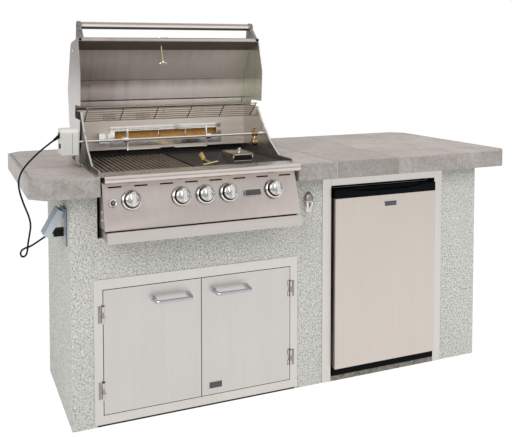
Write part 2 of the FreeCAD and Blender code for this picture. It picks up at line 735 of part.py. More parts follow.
def bar_handle(side):
    """Round bar on two posts."""
    near = DOOR_CENTRE + side * (HANDLE_FROM_DOOR_EDGE + DOOR_GAP)
    far = near + side * HANDLE_POST_SPACING
    bar_y = -FRAME_SHEET - HANDLE_STAND_OFF
    over = side * HANDLE_RADIUS
    z = HANDLE_HEIGHT
    posts = [rod(V(x, -FRAME_SHEET, z), V(x, bar_y, z), HANDLE_POST_RADIUS) for x in (near, far)]
    return join([cross_rod(near - over, far + over, bar_y, z, HANDLE_RADIUS)] + posts)


def fridge_pivot():
    """X and Y of the refrigerator door's hinge line, near its front right corner."""
    x = FRIDGE_CENTRE + TRIM_WIDTH / 2 - TRIM_STILE - FRIDGE_DOOR_GAP - FRIDGE_PIVOT_INSET
    return x, -FRAME_SHEET - FRIDGE_DOOR_PROUD + FRIDGE_PIVOT_INSET


def refrigerator():
    """Trim, stone sill, kick plate and feet, cabinet, shelves and the door in two colours."""
    outer = TRIM_WIDTH / 2
    inner = outer - TRIM_STILE
    centre = FRIDGE_CENTRE
    trim_top = TRIM_OPENING_TOP + TRIM_TOP_RAIL
    bars = []
    for side in (-1, 1):
        edge, face = centre + side * outer, centre + side * inner
        flange = block(*between(edge, face), -FRAME_SHEET, 0, 0, trim_top)
        lip_x = between(face, face + side * FRAME_SHEET)
        lip = block(*lip_x, -FRAME_SHEET, TRIM_RETURN, 0, TRIM_OPENING_TOP)
        bars.append(join([flange, lip]))
    opening = (centre - inner, centre + inner)
    top_face = block(*opening, -FRAME_SHEET, 0, TRIM_OPENING_TOP, trim_top)
    lip_top = TRIM_OPENING_TOP + FRAME_SHEET
    top_lip = block(*opening, -FRAME_SHEET, TRIM_RETURN, TRIM_OPENING_TOP, lip_top)
    keep("fridge_trim", bars + [join([top_face, top_lip])])
    stone_back = SILL_STONE_DEPTH - FRAME_SHEET
    keep("fridge_sill", block(*opening, -FRAME_SHEET, stone_back, 0, SILL_STONE_HEIGHT))

    half = inner - FRIDGE_DOOR_GAP
    width = (centre - half, centre + half)
    floor = SILL_STONE_HEIGHT + KICK_HEIGHT
    door_front = -FRAME_SHEET - FRIDGE_DOOR_PROUD
    door_back = door_front + FRIDGE_DOOR_THICKNESS
    cabinet_front = door_back + GASKET_THICKNESS + CABINET_GAP
    cabinet_back = INNER_BACK - CABINET_BACK_GAP
    cabinet_top = FRIDGE_STEEL_TOP + FRIDGE_CAP_HEIGHT
    shell = block(*width, cabinet_front, cabinet_back, floor, cabinet_top)
    room_x = (centre - half + CABINET_WALL, centre + half - CABINET_WALL)
    room_z = (floor + CABINET_WALL, cabinet_top - CABINET_WALL)
    room = block(*room_x, cabinet_front, cabinet_back - CABINET_WALL, *room_z)
    keep("fridge_cabinet", shell.cut(room))
    shelf_y = (cabinet_front + CABINET_WALL, cabinet_back - CABINET_WALL)
    shelves = []
    for step in range(1, SHELF_COUNT + 1):
        z = room_z[0] + (room_z[1] - room_z[0]) * step / (SHELF_COUNT + 1)
        shelves.append(block(*room_x, *shelf_y, z, z + SHELF_THICKNESS))
    keep("fridge_shelves", shelves)

    pivot_x, pivot_y = fridge_pivot()
    kick_front = door_front + FOOT_INSET / 2
    kick = block(*width, kick_front, cabinet_front, SILL_STONE_HEIGHT, floor)
    feet = [
        upright_rod(x, y, 0, floor, FOOT_RADIUS)
        for x in (width[0] + FOOT_INSET, width[1] - FOOT_INSET)
        for y in (stone_back + FOOT_INSET, cabinet_back - FOOT_INSET)
    ]
    bracket_low = floor - FRIDGE_BRACKET_SHEET
    pin_top = floor + CABINET_WALL / 2
    pin = upright_rod(pivot_x, pivot_y, bracket_low, pin_top, FRIDGE_PIN_RADIUS)
    bracket_x = (pivot_x - FRIDGE_PIVOT_INSET, pivot_x + FRIDGE_PIVOT_INSET)
    bracket = block(*bracket_x, pivot_y - FRIDGE_PIN_RADIUS, cabinet_front, bracket_low, floor)
    keep("fridge_base", [join([kick, bracket, pin])] + feet)

    door_low = floor + FRIDGE_DOOR_LIFT
    bore_radius = FRIDGE_PIN_RADIUS + RUNNING_FIT
    bore = upright_rod(pivot_x, pivot_y, door_low, pin_top + BORE_END_GAP, bore_radius)
    door = block(*width, door_front, door_back, door_low, FRIDGE_STEEL_TOP)
    keep("fridge_door", door.cut(bore))
    cap = block(*width, door_front, door_back, FRIDGE_STEEL_TOP, cabinet_top)
    grip = block(
        centre - GRIP_LENGTH / 2, centre + GRIP_LENGTH / 2, door_front, door_front + GRIP_DEPTH,
        cabinet_top - GRIP_HEIGHT, cabinet_top,
    )

    def gasket_block(inset):
        """Block behind the door, drawn in from its edges."""
        return block(
            width[0] + inset, width[1] - inset, door_back, door_back + GASKET_THICKNESS,
            door_low + inset, cabinet_top - inset,
        )

    seal = gasket_block(GASKET_INSET).cut(gasket_block(GASKET_INSET + GASKET_WIDTH))
    keep("fridge_cap_and_gasket", [cap.cut(grip), seal])


def up(height):
    """Height above the floor of a level given from the counter top."""
    return COUNTER_TOP + height


def panel_point(x, level, out=0.0):
    """Point on the slanted control panel, or standing out from it."""
    share = (level - PANEL_BOTTOM[1]) / (PANEL_TOP[1] - PANEL_BOTTOM[1])
    y = PANEL_BOTTOM[0] + share * (PANEL_TOP[0] - PANEL_BOTTOM[0])
    return V(x, y, up(level)) + PANEL_OUT * out


def panel_rod(x, level, start, end, radius):
    """Round bar square to the control panel, between two distances out from it."""
    return rod(panel_point(x, level, start), panel_point(x, level, end), radius)


def firebox():
    """Tub with side flanges on the counter, tray runners and ledges for tamers and grates."""
    left, right = GRILL_LEFT, GRILL_RIGHT
    wall = FIREBOX_WALL
    front, back = FIREBOX_FRONT, FIREBOX_BACK
    tub = block(left, right, front, back, up(FIREBOX_FLOOR), up(FIREBOX_RIM))
    inside = (left + wall, right - wall)
    hollow = block(*inside, front + wall, back - wall, up(FIREBOX_FLOOR) + wall, up(FIREBOX_RIM))
    slot_x = (GRILL_CENTRE - GREASE_SLOT, GRILL_CENTRE + GREASE_SLOT)
    slot_y = (front + GREASE_SLOT, back - GREASE_SLOT)
    grease_slot = block(*slot_x, *slot_y, up(FIREBOX_FLOOR), up(FIREBOX_FLOOR) + wall)
    pieces = [tub.cut([hollow, grease_slot])]
    for side, edge in ((-1, left), (1, right)):
        out = edge + side * FLANGE_WIDTH
        inner = edge - side * wall
        flange_z = (up(0), up(FLANGE_THICKNESS))
        pieces.append(block(*between(inner, out), front, back, *flange_z))
        pieces.append(block(*between(edge, out), COUNTER_FRONT, front, *flange_z))
        pieces.append(block(*between(inner, edge), front, back, up(RUNNER_BOTTOM), up(FIREBOX_FLOOR)))
        runner = between(edge - side * RUNNER_WIDTH, edge)
        pieces.append(block(*runner, front, back, up(RUNNER_BOTTOM), up(RUNNER_BOTTOM) + wall))
    pieces.append(block(left, right, back - wall, back, up(FIREBOX_RIM), up(BURNER_FRAME_Z[1])))
    for level in (TAMER_LEDGE, GRATE_LEDGE):
        ledge_z = (up(level) - LEDGE_SHEET, up(level))
        pieces.append(block(*inside, front + wall, front + wall + LEDGE_DEPTH, *ledge_z))
        pieces.append(block(*inside, GRATE_BACK - LEDGE_DEPTH, back - wall, *ledge_z))
    port_z = manifold_centre().z
    ports = []
    for offset in BURNER_OFFSETS:
        x = GRILL_CENTRE + offset
        ports.append(rod(V(x, front, port_z), V(x, front + wall, port_z), BURNER_RADIUS + SEAT_GAP))
    keep("firebox", join(pieces).cut(ports))


def firebox_cheeks():
    """Side plates above the counter, with a slot for the spit and the hood's pivot pins."""
    low = up(FLANGE_THICKNESS)
    front_y, slot_top = CHEEK_EDGE[0][0], up(CHEEK_EDGE[-1][1])
    outline = [(front_y, low)] + lifted(CHEEK_EDGE)
    outline += [(PANEL_Y, up(PANEL_SPAN[1])), (FIREBOX_BACK, up(CHEEK_BACK_TOP)), (FIREBOX_BACK, low)]
    pivot_y, pivot_z = HOOD_PIVOT[0], up(HOOD_PIVOT[1])
    slot_half = SPIT_RADIUS + SPIT_SLOT_PLAY
    plates = []
    for side, edge in ((-1, GRILL_LEFT), (1, GRILL_RIGHT)):
        out = edge + side * CHEEK_THICKNESS
        x0, x1 = between(edge, out)
        slot = join([
            cross_rod(x0, x1, SPIT_Y, SPIT_HEIGHT, slot_half),
            block(x0, x1, SPIT_Y - slot_half, SPIT_Y + slot_half, SPIT_HEIGHT, slot_top),
        ])
        rack_hole = cross_rod(x0, x1, RACK_PIVOT[0], up(RACK_PIVOT[1]), RACK_WIRE + RUNNING_FIT)
        plate = side_prism(outline, x0, x1).cut([slot, rack_hole])
        hood_face = GRILL_CENTRE + side * HOOD_WIDTH / 2
        pin_end = hood_face + side * HOOD_SIDE_SHEET
        pin = cross_rod(out, pin_end, pivot_y, pivot_z, PIVOT_RADIUS)
        head = cross_rod(hood_face + side * SEAT_GAP, pin_end, pivot_y, pivot_z, PIVOT_HEAD_RADIUS)
        plates.append(join([plate, pin, head]))
    keep("firebox_cheeks", plates)


def rear_panel():
    """Panel behind the grates, with vents and the infrared burner's opening."""
    x0, x1 = GRILL_CENTRE + BURNER_FRAME_X[0], GRILL_CENTRE + BURNER_FRAME_X[1]
    b0, b1 = up(BURNER_FRAME_Z[0]), up(BURNER_FRAME_Z[1])
    y0, y1 = PANEL_Y, PANEL_Y + STEEL

    def burner_block(inset, front, back):
        """Block as wide and high as the burner's frame, drawn in from its edges."""
        return block(x0 + inset, x1 - inset, front, back, b0 + inset, b1 - inset)

    lap = BURNER_PROUD * 2
    cuts = [burner_block(lap, y0, y1)]
    width, height = VENT_SLOT
    vent_z = up(VENT_SLOT_LEVEL)
    for start, count in VENT_ROWS:
        for index in range(count):
            x = GRILL_CENTRE + start + index * VENT_PITCH
            cuts.append(block(x, x + width, y0, y1, vent_z, vent_z + height))
    plate = block(GRILL_LEFT, GRILL_RIGHT, y0, y1, up(PANEL_SPAN[0]), up(PANEL_SPAN[1]))
    keep("rear_panel", plate.cut(cuts))

    frame = burner_block(0, y0 - BURNER_PROUD, y0).cut(burner_block(BURNER_BORDER, y0 - BURNER_PROUD, y0))
    gap = lap + BURNER_GAP
    inner = gap + STEEL
    housing_back = y0 + BURNER_DEPTH
    ceramic_back = housing_back - STEEL
    housing = burner_block(gap, y0, housing_back).cut(burner_block(inner, y0, ceramic_back))
    ceramic = burner_block(inner, ceramic_back - CERAMIC_THICKNESS, ceramic_back)
    feed_x = (GRILL_CENTRE + FEED_BOX_X[0], GRILL_CENTRE + FEED_BOX_X[1])
    feed = block(*feed_x, y0 - FEED_BOX_DEPTH, y0, up(FEED_BOX_Z[0]), up(FEED_BOX_Z[1]))
    keep("rear_burner", [join([frame, housing]), ceramic, feed])


def front_sill():
    """Bullnose sill in front of the grates, closed at both ends."""
    top, low = up(SILL_TOP), up(SILL_TOP - SILL_HEIGHT)
    profile = ((FIREBOX_FRONT, top), (SILL_FRONT, top), (SILL_FRONT, low), (PANEL_TOP[0] + STEEL, low))
    sheet = bent_sheet(profile, STEEL, SILL_BULLNOSE, GRILL_LEFT, GRILL_RIGHT)
    inset = STEEL / 2
    ends = [
        side_prism([
            (FIREBOX_FRONT, top - inset), (SILL_FRONT + SILL_BULLNOSE, top - inset),
            (SILL_FRONT + inset, top - SILL_BULLNOSE), (SILL_FRONT + inset, low + SILL_BULLNOSE),
            (SILL_FRONT + SILL_BULLNOSE, low + inset), (FIREBOX_FRONT, low + inset),
        ], x, x + STEEL)
        for x in (GRILL_LEFT, GRILL_RIGHT - STEEL)
    ]
    keep("front_sill", join([sheet] + ends))


def control_panel():
    """Slanted panel with vents and control holes, its side returns and its bottom return."""
    (top_y, top), (low_y, low) = PANEL_TOP, PANEL_BOTTOM
    slant = STEEL / cos(PANEL_LEAN)
    face = side_prism([
        (low_y, up(low)), (top_y, up(top)), (top_y + slant, up(top)), (low_y + slant, up(low)),
    ], GRILL_LEFT, GRILL_RIGHT)
    returns = [
        side_prism([
            (low_y, up(low)), (FIREBOX_FRONT, up(low)), (FIREBOX_FRONT, up(top)), (top_y, up(top)),
        ], x, x + STEEL)
        for x in (GRILL_LEFT, GRILL_RIGHT - STEEL)
    ]
    bottom = block(GRILL_LEFT, GRILL_RIGHT, low_y, FIREBOX_FRONT, up(low), up(low) + STEEL)
    button_hole = BUTTON_RADIUS + RUNNING_FIT * 2
    holes = [panel_rod(BUTTON_X, BUTTON_LEVEL, -PANEL_CUT_DEPTH, STEEL, button_hole)]
    for offset in KNOB_OFFSETS:
        x = GRILL_CENTRE + offset
        holes.append(panel_rod(x, KNOB_LEVEL, -PANEL_CUT_DEPTH, STEEL, STEM_HOLE_RADIUS))
    first_vent = GRILL_LEFT + VENT_FROM_EDGE
    pitch = (GRILL_WIDTH - 2 * VENT_FROM_EDGE - VENT_LENGTH) / (VENT_COUNT - 1)
    vent_y = panel_point(0, VENT_LEVEL).y
    vent_z = up(VENT_LEVEL)
    cut_y = (vent_y - VENT_CUT_REACH, vent_y + VENT_CUT_REACH)
    for index in range(VENT_COUNT):
        x = first_vent + index * pitch
        holes.append(block(x, x + VENT_LENGTH, *cut_y, vent_z, vent_z + VENT_HEIGHT))
    keep("control_panel", join([face, bottom] + returns).cut(holes))


def knobs():
    """Bezels on the panel, a knob on each valve stem, and the light's push button."""
    bezels = []
    for number, offset in enumerate(KNOB_OFFSETS, 1):
        x = GRILL_CENTRE + offset
        base, rim = panel_point(x, KNOB_LEVEL), panel_point(x, KNOB_LEVEL, BEZEL_THICKNESS)
        bezel = cone(base, rim, BEZEL_RADIUS, BEZEL_RADIUS - BEZEL_TAPER)
        bezels.append(bezel.cut(rod(base, rim, STEM_HOLE_RADIUS)))
        keep(f"knob_{number}", knob(x))
    keep("knob_bezels", bezels)
    keep("light_button", panel_rod(BUTTON_X, BUTTON_LEVEL, -BUTTON_IN, BUTTON_OUT, BUTTON_RADIUS))


def knob(x):
    """Round skirt with a flat upright grip, bored for its stem."""
    seat = panel_point(x, KNOB_LEVEL, KNOB_STAND_OFF)
    shoulder = panel_point(x, KNOB_LEVEL, KNOB_STAND_OFF + KNOB_SKIRT)
    top = panel_point(x, KNOB_LEVEL, KNOB_STAND_OFF + KNOB_HEIGHT)
    skirt = cone(seat, shoulder, KNOB_RADIUS, KNOB_RADIUS - KNOB_SKIRT_TAPER)
    corner = V(-KNOB_GRIP_WIDTH / 2, -KNOB_RADIUS, 0)
    grip = Part.makeBox(KNOB_GRIP_WIDTH, 2 * KNOB_RADIUS, KNOB_HEIGHT, corner)
    grip.rotate(V(0, 0, 0), V(1, 0, 0), 90 - degrees(PANEL_LEAN))
    grip.translate(seat)
    grip_radius = KNOB_RADIUS - KNOB_GRIP_INSET
    grip = grip.common(cone(seat, top, grip_radius, grip_radius - KNOB_GRIP_TAPER))
    bore_end = panel_point(x, KNOB_LEVEL, STEM_OUT + RUNNING_FIT)
    return join([skirt, grip]).cut(rod(seat, bore_end, STEM_RADIUS + RUNNING_FIT))


def manifold_centre():
    """Centre line of the gas pipe behind the control panel."""
    return panel_point(GRILL_CENTRE, KNOB_LEVEL, -MANIFOLD_IN)


def gas_train():
    """Manifold pipe, valves with their stems, the light's switch, and the main burners."""
    centre = manifold_centre()
    pipe_x = (GRILL_LEFT + MANIFOLD_END_GAP, GRILL_RIGHT - MANIFOLD_END_GAP)
    fittings = [cross_rod(*pipe_x, centre.y, centre.z, MANIFOLD_RADIUS)]
    for offset in KNOB_OFFSETS:
        x = GRILL_CENTRE + offset
        fittings.append(panel_rod(x, KNOB_LEVEL, -MANIFOLD_IN, -VALVE_SETBACK, VALVE_RADIUS))
        fittings.append(panel_rod(x, KNOB_LEVEL, -MANIFOLD_IN, STEM_OUT, STEM_RADIUS))
    half = MANIFOLD_RADIUS / 2
    for offset in MANIFOLD_LUGS:
        x = GRILL_CENTRE + offset
        lug_z = (centre.z - half, centre.z + half)
        fittings.append(block(x - half, x + half, centre.y, FIREBOX_FRONT, *lug_z))
    switch_front = BUTTON_IN + BUTTON_TRAVEL + SWITCH_GAP
    fittings.append(panel_rod(BUTTON_X, BUTTON_LEVEL, -MANIFOLD_IN, -switch_front, SWITCH_RADIUS))
    burner_front = FIREBOX_FRONT - BURNER_LEAD
    burners = []
    for offset in BURNER_OFFSETS:
        x = GRILL_CENTRE + offset
        jet_end = V(x, burner_front - JET_GAP, centre.z)
        fittings.append(rod(V(x, centre.y, centre.z), jet_end, STEM_RADIUS))
        start, end = V(x, burner_front, centre.z), V(x, BURNER_BACK, centre.z)
        hollow = rod(start, end - V(0, STEEL, 0), BURNER_RADIUS - STEEL)
        burners.append(rod(start, end, BURNER_RADIUS).cut(hollow))
    keep("gas_manifold", join(fittings))
    keep("main_burners", burners)


def tamers_and_grates():
    """Roof-shaped tamers over the burners, the bar grate and the griddle plate."""
    half, sheet = TAMER_HALF_WIDTH, TAMER_SHEET
    foot, ridge = up(TAMER_LEDGE), up(TAMER_LEDGE) + TAMER_RISE
    start = GRATE_FRONT - TAMER_LEAD
    tamers = []
    for offset in BURNER_OFFSETS:
        x = GRILL_CENTRE + offset
        outline = [
            V(x - half, start, foot), V(x, start, ridge), V(x + half, start, foot),
            V(x + half - sheet, start, foot), V(x, start, ridge - sheet), V(x - half + sheet, start, foot),
        ]
        face = Part.Face(Part.makePolygon(outline + outline[:1]))
        tamers.append(face.extrude(V(0, GRATE_BACK - GRATE_FRONT, 0)))
    keep("flame_tamers", tamers)

    low, top = up(GRATE_LEDGE), GRIDDLE_TOP
    left, right = GRILL_LEFT + GRATE_EDGE_GAP, GRILL_CENTRE - GRATE_SPLIT - GRATE_MIDDLE_GAP
    pitch = (right - left - BAR_WIDTH) / (GRATE_BARS - 1)
    bars = []
    for index in range(GRATE_BARS):
        x = left + index * pitch
        bars.append(block(x, x + BAR_WIDTH, GRATE_FRONT, GRATE_BACK, top - BAR_HEIGHT + BAR_LIFT, top))
    middle = (GRATE_FRONT + GRATE_BACK) / 2
    ties = [
        block(left, right, y, y + BAR_WIDTH, low, top - BAR_HEIGHT / 2)
        for y in (GRATE_FRONT, middle - BAR_WIDTH / 2, GRATE_BACK - BAR_WIDTH)
    ]
    keep("cooking_grate", join(ties + bars))

    left, right = right + GRIDDLE_GAP, GRILL_RIGHT - GRATE_EDGE_GAP
    rim, wall = top + GRIDDLE_RIM, GRIDDLE_WALL
    plate = block(left, right, GRATE_FRONT, GRATE_BACK, low, rim)
    bed = block(left + wall, right - wall, GRATE_FRONT + wall, GRATE_BACK - wall, top, rim)
    keep("griddle", plate.cut(bed))


def grate_lifter():
    """Flat handle with a forked claw, lying on the griddle."""
    z0 = GRIDDLE_TOP + GRIDDLE_RIM + SEAT_GAP
    z1 = z0 + LIFTER_THICKNESS

    def strip(start, end, width, low, high):
        """Flat bar between two (x, y) points, measured from the grill's centre."""
        a, b = V(GRILL_CENTRE + start[0], start[1], low), V(GRILL_CENTRE + end[0], end[1], low)
        run = (b - a).normalize()
        out = V(-run.y, run.x, 0) * (width / 2)
        corners = [a + out, b + out, b - out, a - out]
        return Part.Face(Part.makePolygon(corners + corners[:1])).extrude(V(0, 0, high - low))

    (hx, hy), (tx, ty) = LIFTER_HANDLE
    (cx, cy), (dx, dy) = LIFTER_CLAW
    share = LIFTER_SHANK_START
    shank_start = (hx + (tx - hx) * share, hy + (ty - hy) * share)
    shank_end = ((cx + dx) / 2, (cy + dy) / 2)
    handle = strip((hx, hy), (tx, ty), LIFTER_HANDLE_WIDTH, z0, z1)
    shank = strip(shank_start, shank_end, LIFTER_BAR_WIDTH, z0, z1)
    claw = strip((cx, cy), (dx, dy), LIFTER_BAR_WIDTH, z0, z1)
    keep("grate_lifter", join([handle, shank, claw]))


def drip_tray():
    """Shallow pan on the runners, behind a full-width front."""
    runner = up(RUNNER_BOTTOM)
    bottom = runner + FIREBOX_WALL + SEAT_GAP
    side_gap = FIREBOX_WALL + TRAY_SIDE_GAP
    x0, x1 = GRILL_LEFT + side_gap, GRILL_RIGHT - side_gap
    front = TRAY_FRONT + TRAY_FRONT_SHEET
    wall = STEEL
    room = block(x0 + wall, x1 - wall, front + wall, TRAY_BACK - wall, bottom + wall, bottom + TRAY_DEPTH)
    pan = block(x0, x1, front, TRAY_BACK, bottom, bottom + TRAY_DEPTH).cut(room)
    face_x = (GRILL_LEFT + TRAY_FACE_INSET, GRILL_RIGHT - TRAY_FACE_INSET)
    face = block(*face_x, TRAY_FRONT, front, runner, runner + TRAY_FRONT_HEIGHT)
    keep("drip_tray", join([pan, face]))


def skin_y(height):
    """Y of the hood's rear skin at a height above the counter."""
    share = (height - HOOD_TAIL[1]) / (HOOD_BACK[1] - HOOD_TAIL[1])
    return HOOD_TAIL[0] + share * (HOOD_BACK[0] - HOOD_TAIL[0])


def lifted(points):
    """Points of (y, height above the counter) as (y, z)."""
    return [(y, up(height)) for y, height in points]


def hood():
    """Open hood: skin, side plates with spit notches, liner, handle, thermometer and bumpers."""
    left, right = GRILL_CENTRE - HOOD_WIDTH / 2, GRILL_CENTRE + HOOD_WIDTH / 2
    profile = lifted((HOOD_TAIL, HOOD_BACK, HOOD_CROWN, HOOD_LIP))
    keep("hood_skin", bent_sheet(profile, STEEL, HOOD_BEND, left, right))

    outline = hood_side_outline()
    plates = []
    pivot_y, pivot_z = HOOD_PIVOT[0], up(HOOD_PIVOT[1])
    notch_low, notch_top = up(NOTCH_BOTTOM), up(NOTCH_BOTTOM + NOTCH_HEIGHT)
    cut = NOTCH_CHAMFER
    for side, edge in ((-1, left), (1, right)):
        x0, x1 = between(edge, edge - side * HOOD_SIDE_SHEET)
        notch = join([
            block(x0, x1, NOTCH_START, NOTCH_END - cut, notch_low, notch_top),
            block(x0, x1, NOTCH_START, NOTCH_END, notch_low + cut, notch_top - cut),
        ])
        hole = cross_rod(x0, x1, pivot_y, pivot_z, PIVOT_RADIUS + RUNNING_FIT)
        plates.append(side_prism(outline, x0, x1).cut([notch, hole]))
    keep("hood_sides", plates)

    closing = LINER_POINTS[-1][1] - LINER_CLOSING_DROP
    liner_path = lifted(LINER_POINTS + ((skin_y(closing) - STEEL - SEAT_GAP, closing),))
    liner_x = (left + HOOD_SIDE_SHEET, right - HOOD_SIDE_SHEET)
    keep("hood_liner", bent_sheet(liner_path, STEEL, LINER_BEND, *liner_x))
    hood_handle()
    thermometer()
    bumpers = []
    bumper_x = HOOD_WIDTH / 2 - HOOD_SIDE_SHEET - BUMPER_RADIUS - BUMPER_SIDE_GAP
    y, z = HOOD_LIP[0], up(HOOD_LIP[1]) - BUMPER_RADIUS - BUMPER_EDGE_GAP
    for side in (-1, 1):
        x = GRILL_CENTRE + side * bumper_x
        bumpers.append(rod(V(x, y - BUMPER_HEIGHT, z), V(x, y, z), BUMPER_RADIUS))
    keep("hood_bumpers", bumpers)


def hood_side_outline():
    """Side plate's outline inside the skin, from the tail round to the front edge."""
    inset = STEEL + HOOD_SIDE_GAP
    profile = [V(0, y, z) for y, z in lifted((HOOD_TAIL, HOOD_BACK, HOOD_CROWN, HOOD_LIP))]
    runs = [(b - a).normalize() for a, b in zip(profile, profile[1:])]
    normals = [V(0, -run.z, run.y) for run in runs]
    outline = [profile[0] + normals[0] * inset + runs[0] * HOOD_SIDE_END_GAP]
    for corner, before, after, side in zip(profile[1:], runs, runs[1:], normals):
        turn = before.getAngle(after)
        radius = HOOD_BEND + STEEL
        reach = radius * tan(turn / 2)
        centre = corner - before * reach + side * radius
        for step in range(HOOD_BEND_STEPS + 1):
            angle = turn * step / HOOD_BEND_STEPS
            spoke = before * sin(angle) - side * cos(angle)
            outline.append(centre + spoke * (radius - inset))
    outline.append(profile[-1] + normals[-1] * inset - runs[-1] * HOOD_SIDE_END_GAP)
    return [(point.y, point.z) for point in outline] + lifted(HOOD_SIDE_EDGE)


def hood_handle():
    """Tube between two tapered brackets that stand on the hood's front panel."""
    y, z = HANDLE_CENTRE[0], up(HANDLE_CENTRE[1])
    half = HOOD_WIDTH / 2 - HANDLE_FROM_EDGE
    tube_x = (GRILL_CENTRE - half, GRILL_CENTRE + half)
    tube = cross_rod(*tube_x, y, z, HANDLE_TUBE_RADIUS)
    tube = tube.cut(cross_rod(*tube_x, y, z, HANDLE_TUBE_RADIUS - STEEL))
    slope = (HOOD_CROWN[1] - HOOD_LIP[1]) / (HOOD_CROWN[0] - HOOD_LIP[0])
    base = lifted([(foot, HOOD_LIP[1] + (foot - HOOD_LIP[0]) * slope) for foot in BRACKET_BASE])
    wide, narrow = BRACKET_TOP_HALF, BRACKET_TOP_HALF / 2
    crown = [(y - wide, z + narrow), (y - narrow, z + wide), (y + narrow, z + wide), (y + wide, z + narrow)]
    brackets = []
    for side in (-1, 1):
        x = GRILL_CENTRE + side * half
        brackets.append(side_prism(base[:1] + crown + base[1:], *between(x, x + side * BRACKET_SHEET)))
    keep("hood_handle", [tube] + brackets)


def thermometer():
    """Dial on the hood's front panel, with its stem hanging inside and a wing nut."""
    middle_y = (HOOD_LIP[0] + HOOD_CROWN[0]) / 2 - DIAL_FROM_MIDDLE
    slope = atan2(HOOD_CROWN[1] - HOOD_LIP[1], HOOD_CROWN[0] - HOOD_LIP[0])
    out = V(0, -sin(slope), cos(slope))
    seat_z = up(HOOD_LIP[1] + (middle_y - HOOD_LIP[0]) * tan(slope))
    seat = V(GRILL_CENTRE - DIAL_FROM_CENTRE, middle_y, seat_z)
    dial = rod(seat, seat + out * THERMOMETER_BODY, THERMOMETER_RADIUS)
    stem = rod(seat, seat - out * PROBE_LENGTH, PROBE_RADIUS)
    nut = rod(seat - out * WING_NUT_SPAN[0], seat - out * WING_NUT_SPAN[1], WING_NUT_RADIUS)
    keep("hood_thermometer", join([dial, stem, nut]))
    hole_top, hole_end = seat + out * PROBE_HOLE_REACH, seat - out * (PROBE_LENGTH + PROBE_HOLE_REACH)
    hole = rod(hole_top, hole_end, PROBE_RADIUS + SEAT_GAP)
    for name in ("hood_skin", "hood_liner"):
        PIECES[name] = PIECES[name].cut(hole)


def warming_rack():
    """Wire rack, tilted up with the open hood, that turns on its rear rod."""
    rear = V(GRILL_CENTRE, RACK_PIVOT[0], up(RACK_PIVOT[1]))
    front = V(GRILL_CENTRE, RACK_FRONT[0], up(RACK_FRONT[1]))
    step = (front - rear) * (1 / (RACK_RODS - 1))
    lower = V(0, step.z, -step.y).normalize() * RACK_CROSS_DROP
    wires = []
    for index in range(RACK_RODS):
        half = RACK_HALF_WIDTH if index else GRILL_WIDTH / 2 + RACK_PIN_REACH
        at = rear + step * index
        wires.append(rod(at - V(half, 0, 0), at + V(half, 0, 0), RACK_WIRE))
    pitch = 2 * (RACK_HALF_WIDTH - RACK_WIRE * 2) / (RACK_CROSS_RODS - 1)
    for index in range(RACK_CROSS_RODS):
        x = -RACK_HALF_WIDTH + RACK_WIRE * 2 + index * pitch
        shift = V(x, 0, 0) - lower
        wires.append(rod(rear + shift, front + shift, RACK_CROSS_WIRE))
    keep("warming_rack", join(wires))


def rotisserie():
    """Motor on its bracket, and the spit with its forks and counterweight."""
    y0, y1 = MOTOR_Y
    z0, z1 = up(MOTOR_Z[0]), up(MOTOR_Z[1])
    chamfer = MOTOR_CHAMFER
    outline = [(y0, z0), (y1, z0), (y1, z1 - chamfer), (y1 - chamfer, z1)]
    outline += [(y0 + chamfer, z1), (y0, z1 - chamfer)]
    motor = side_prism(outline, MOTOR_LEFT, MOTOR_RIGHT)
    spit_left, axis_y, axis_z = GRILL_LEFT - SPIT_PAST_LEFT, SPIT_Y, SPIT_HEIGHT
    socket_start = spit_left - SPIT_END_GAP
    socket = cross_rod(socket_start, MOTOR_RIGHT, axis_y, axis_z, SPIT_RADIUS + RUNNING_FIT)
    keep("rotisserie_motor", motor.cut(socket))

    bracket_y = (axis_y - BRACKET_WIDTH / 2, axis_y + BRACKET_WIDTH / 2)
    foot_low = up(FLANGE_THICKNESS)
    plate_end = MOTOR_RIGHT + BRACKET_THICKNESS
    foot_end = GRILL_LEFT - CHEEK_THICKNESS - BRACKET_END_GAP
    plate = block(MOTOR_RIGHT, plate_end, *bracket_y, foot_low, z1 - chamfer)
    foot = block(MOTOR_RIGHT, foot_end, *bracket_y, foot_low, foot_low + BRACKET_THICKNESS)
    hole = cross_rod(MOTOR_RIGHT, plate_end, axis_y, axis_z, SPIT_RADIUS * 2)
    keep("motor_bracket", join([plate, foot]).cut(hole))

    bar = cross_rod(spit_left, GRILL_RIGHT + SPIT_PAST_RIGHT, axis_y, axis_z, SPIT_RADIUS)
    collar_x = GRILL_RIGHT - SPIT_COLLAR_LENGTH * 2
    collar = cross_rod(collar_x, collar_x + SPIT_COLLAR_LENGTH, axis_y, axis_z, SPIT_COLLAR_RADIUS)
    keep("spit_rod", join([bar, collar]))
    keep("spit_forks", [spit_fork(GRILL_CENTRE + offset, way) for offset, way in FORK_POSITIONS])

    x = GRILL_RIGHT - WEIGHT_FROM_EDGE
    width = (x - WEIGHT_HALF, x + WEIGHT_HALF)
    weight_z = axis_z - WEIGHT_DROP
    clamp = cross_rod(*width, axis_y, axis_z, FORK_HUB_RADIUS)
    weight = cross_rod(*width, axis_y, weight_z, WEIGHT_RADIUS)
    arm = upright_rod(x, axis_y, weight_z, axis_z + WEIGHT_SCREW_UP, WEIGHT_ARM_RADIUS)
    bore = cross_rod(*width, axis_y, axis_z, SPIT_RADIUS)
    keep("spit_counterweight", join([clamp, weight, arm]).cut(bore))


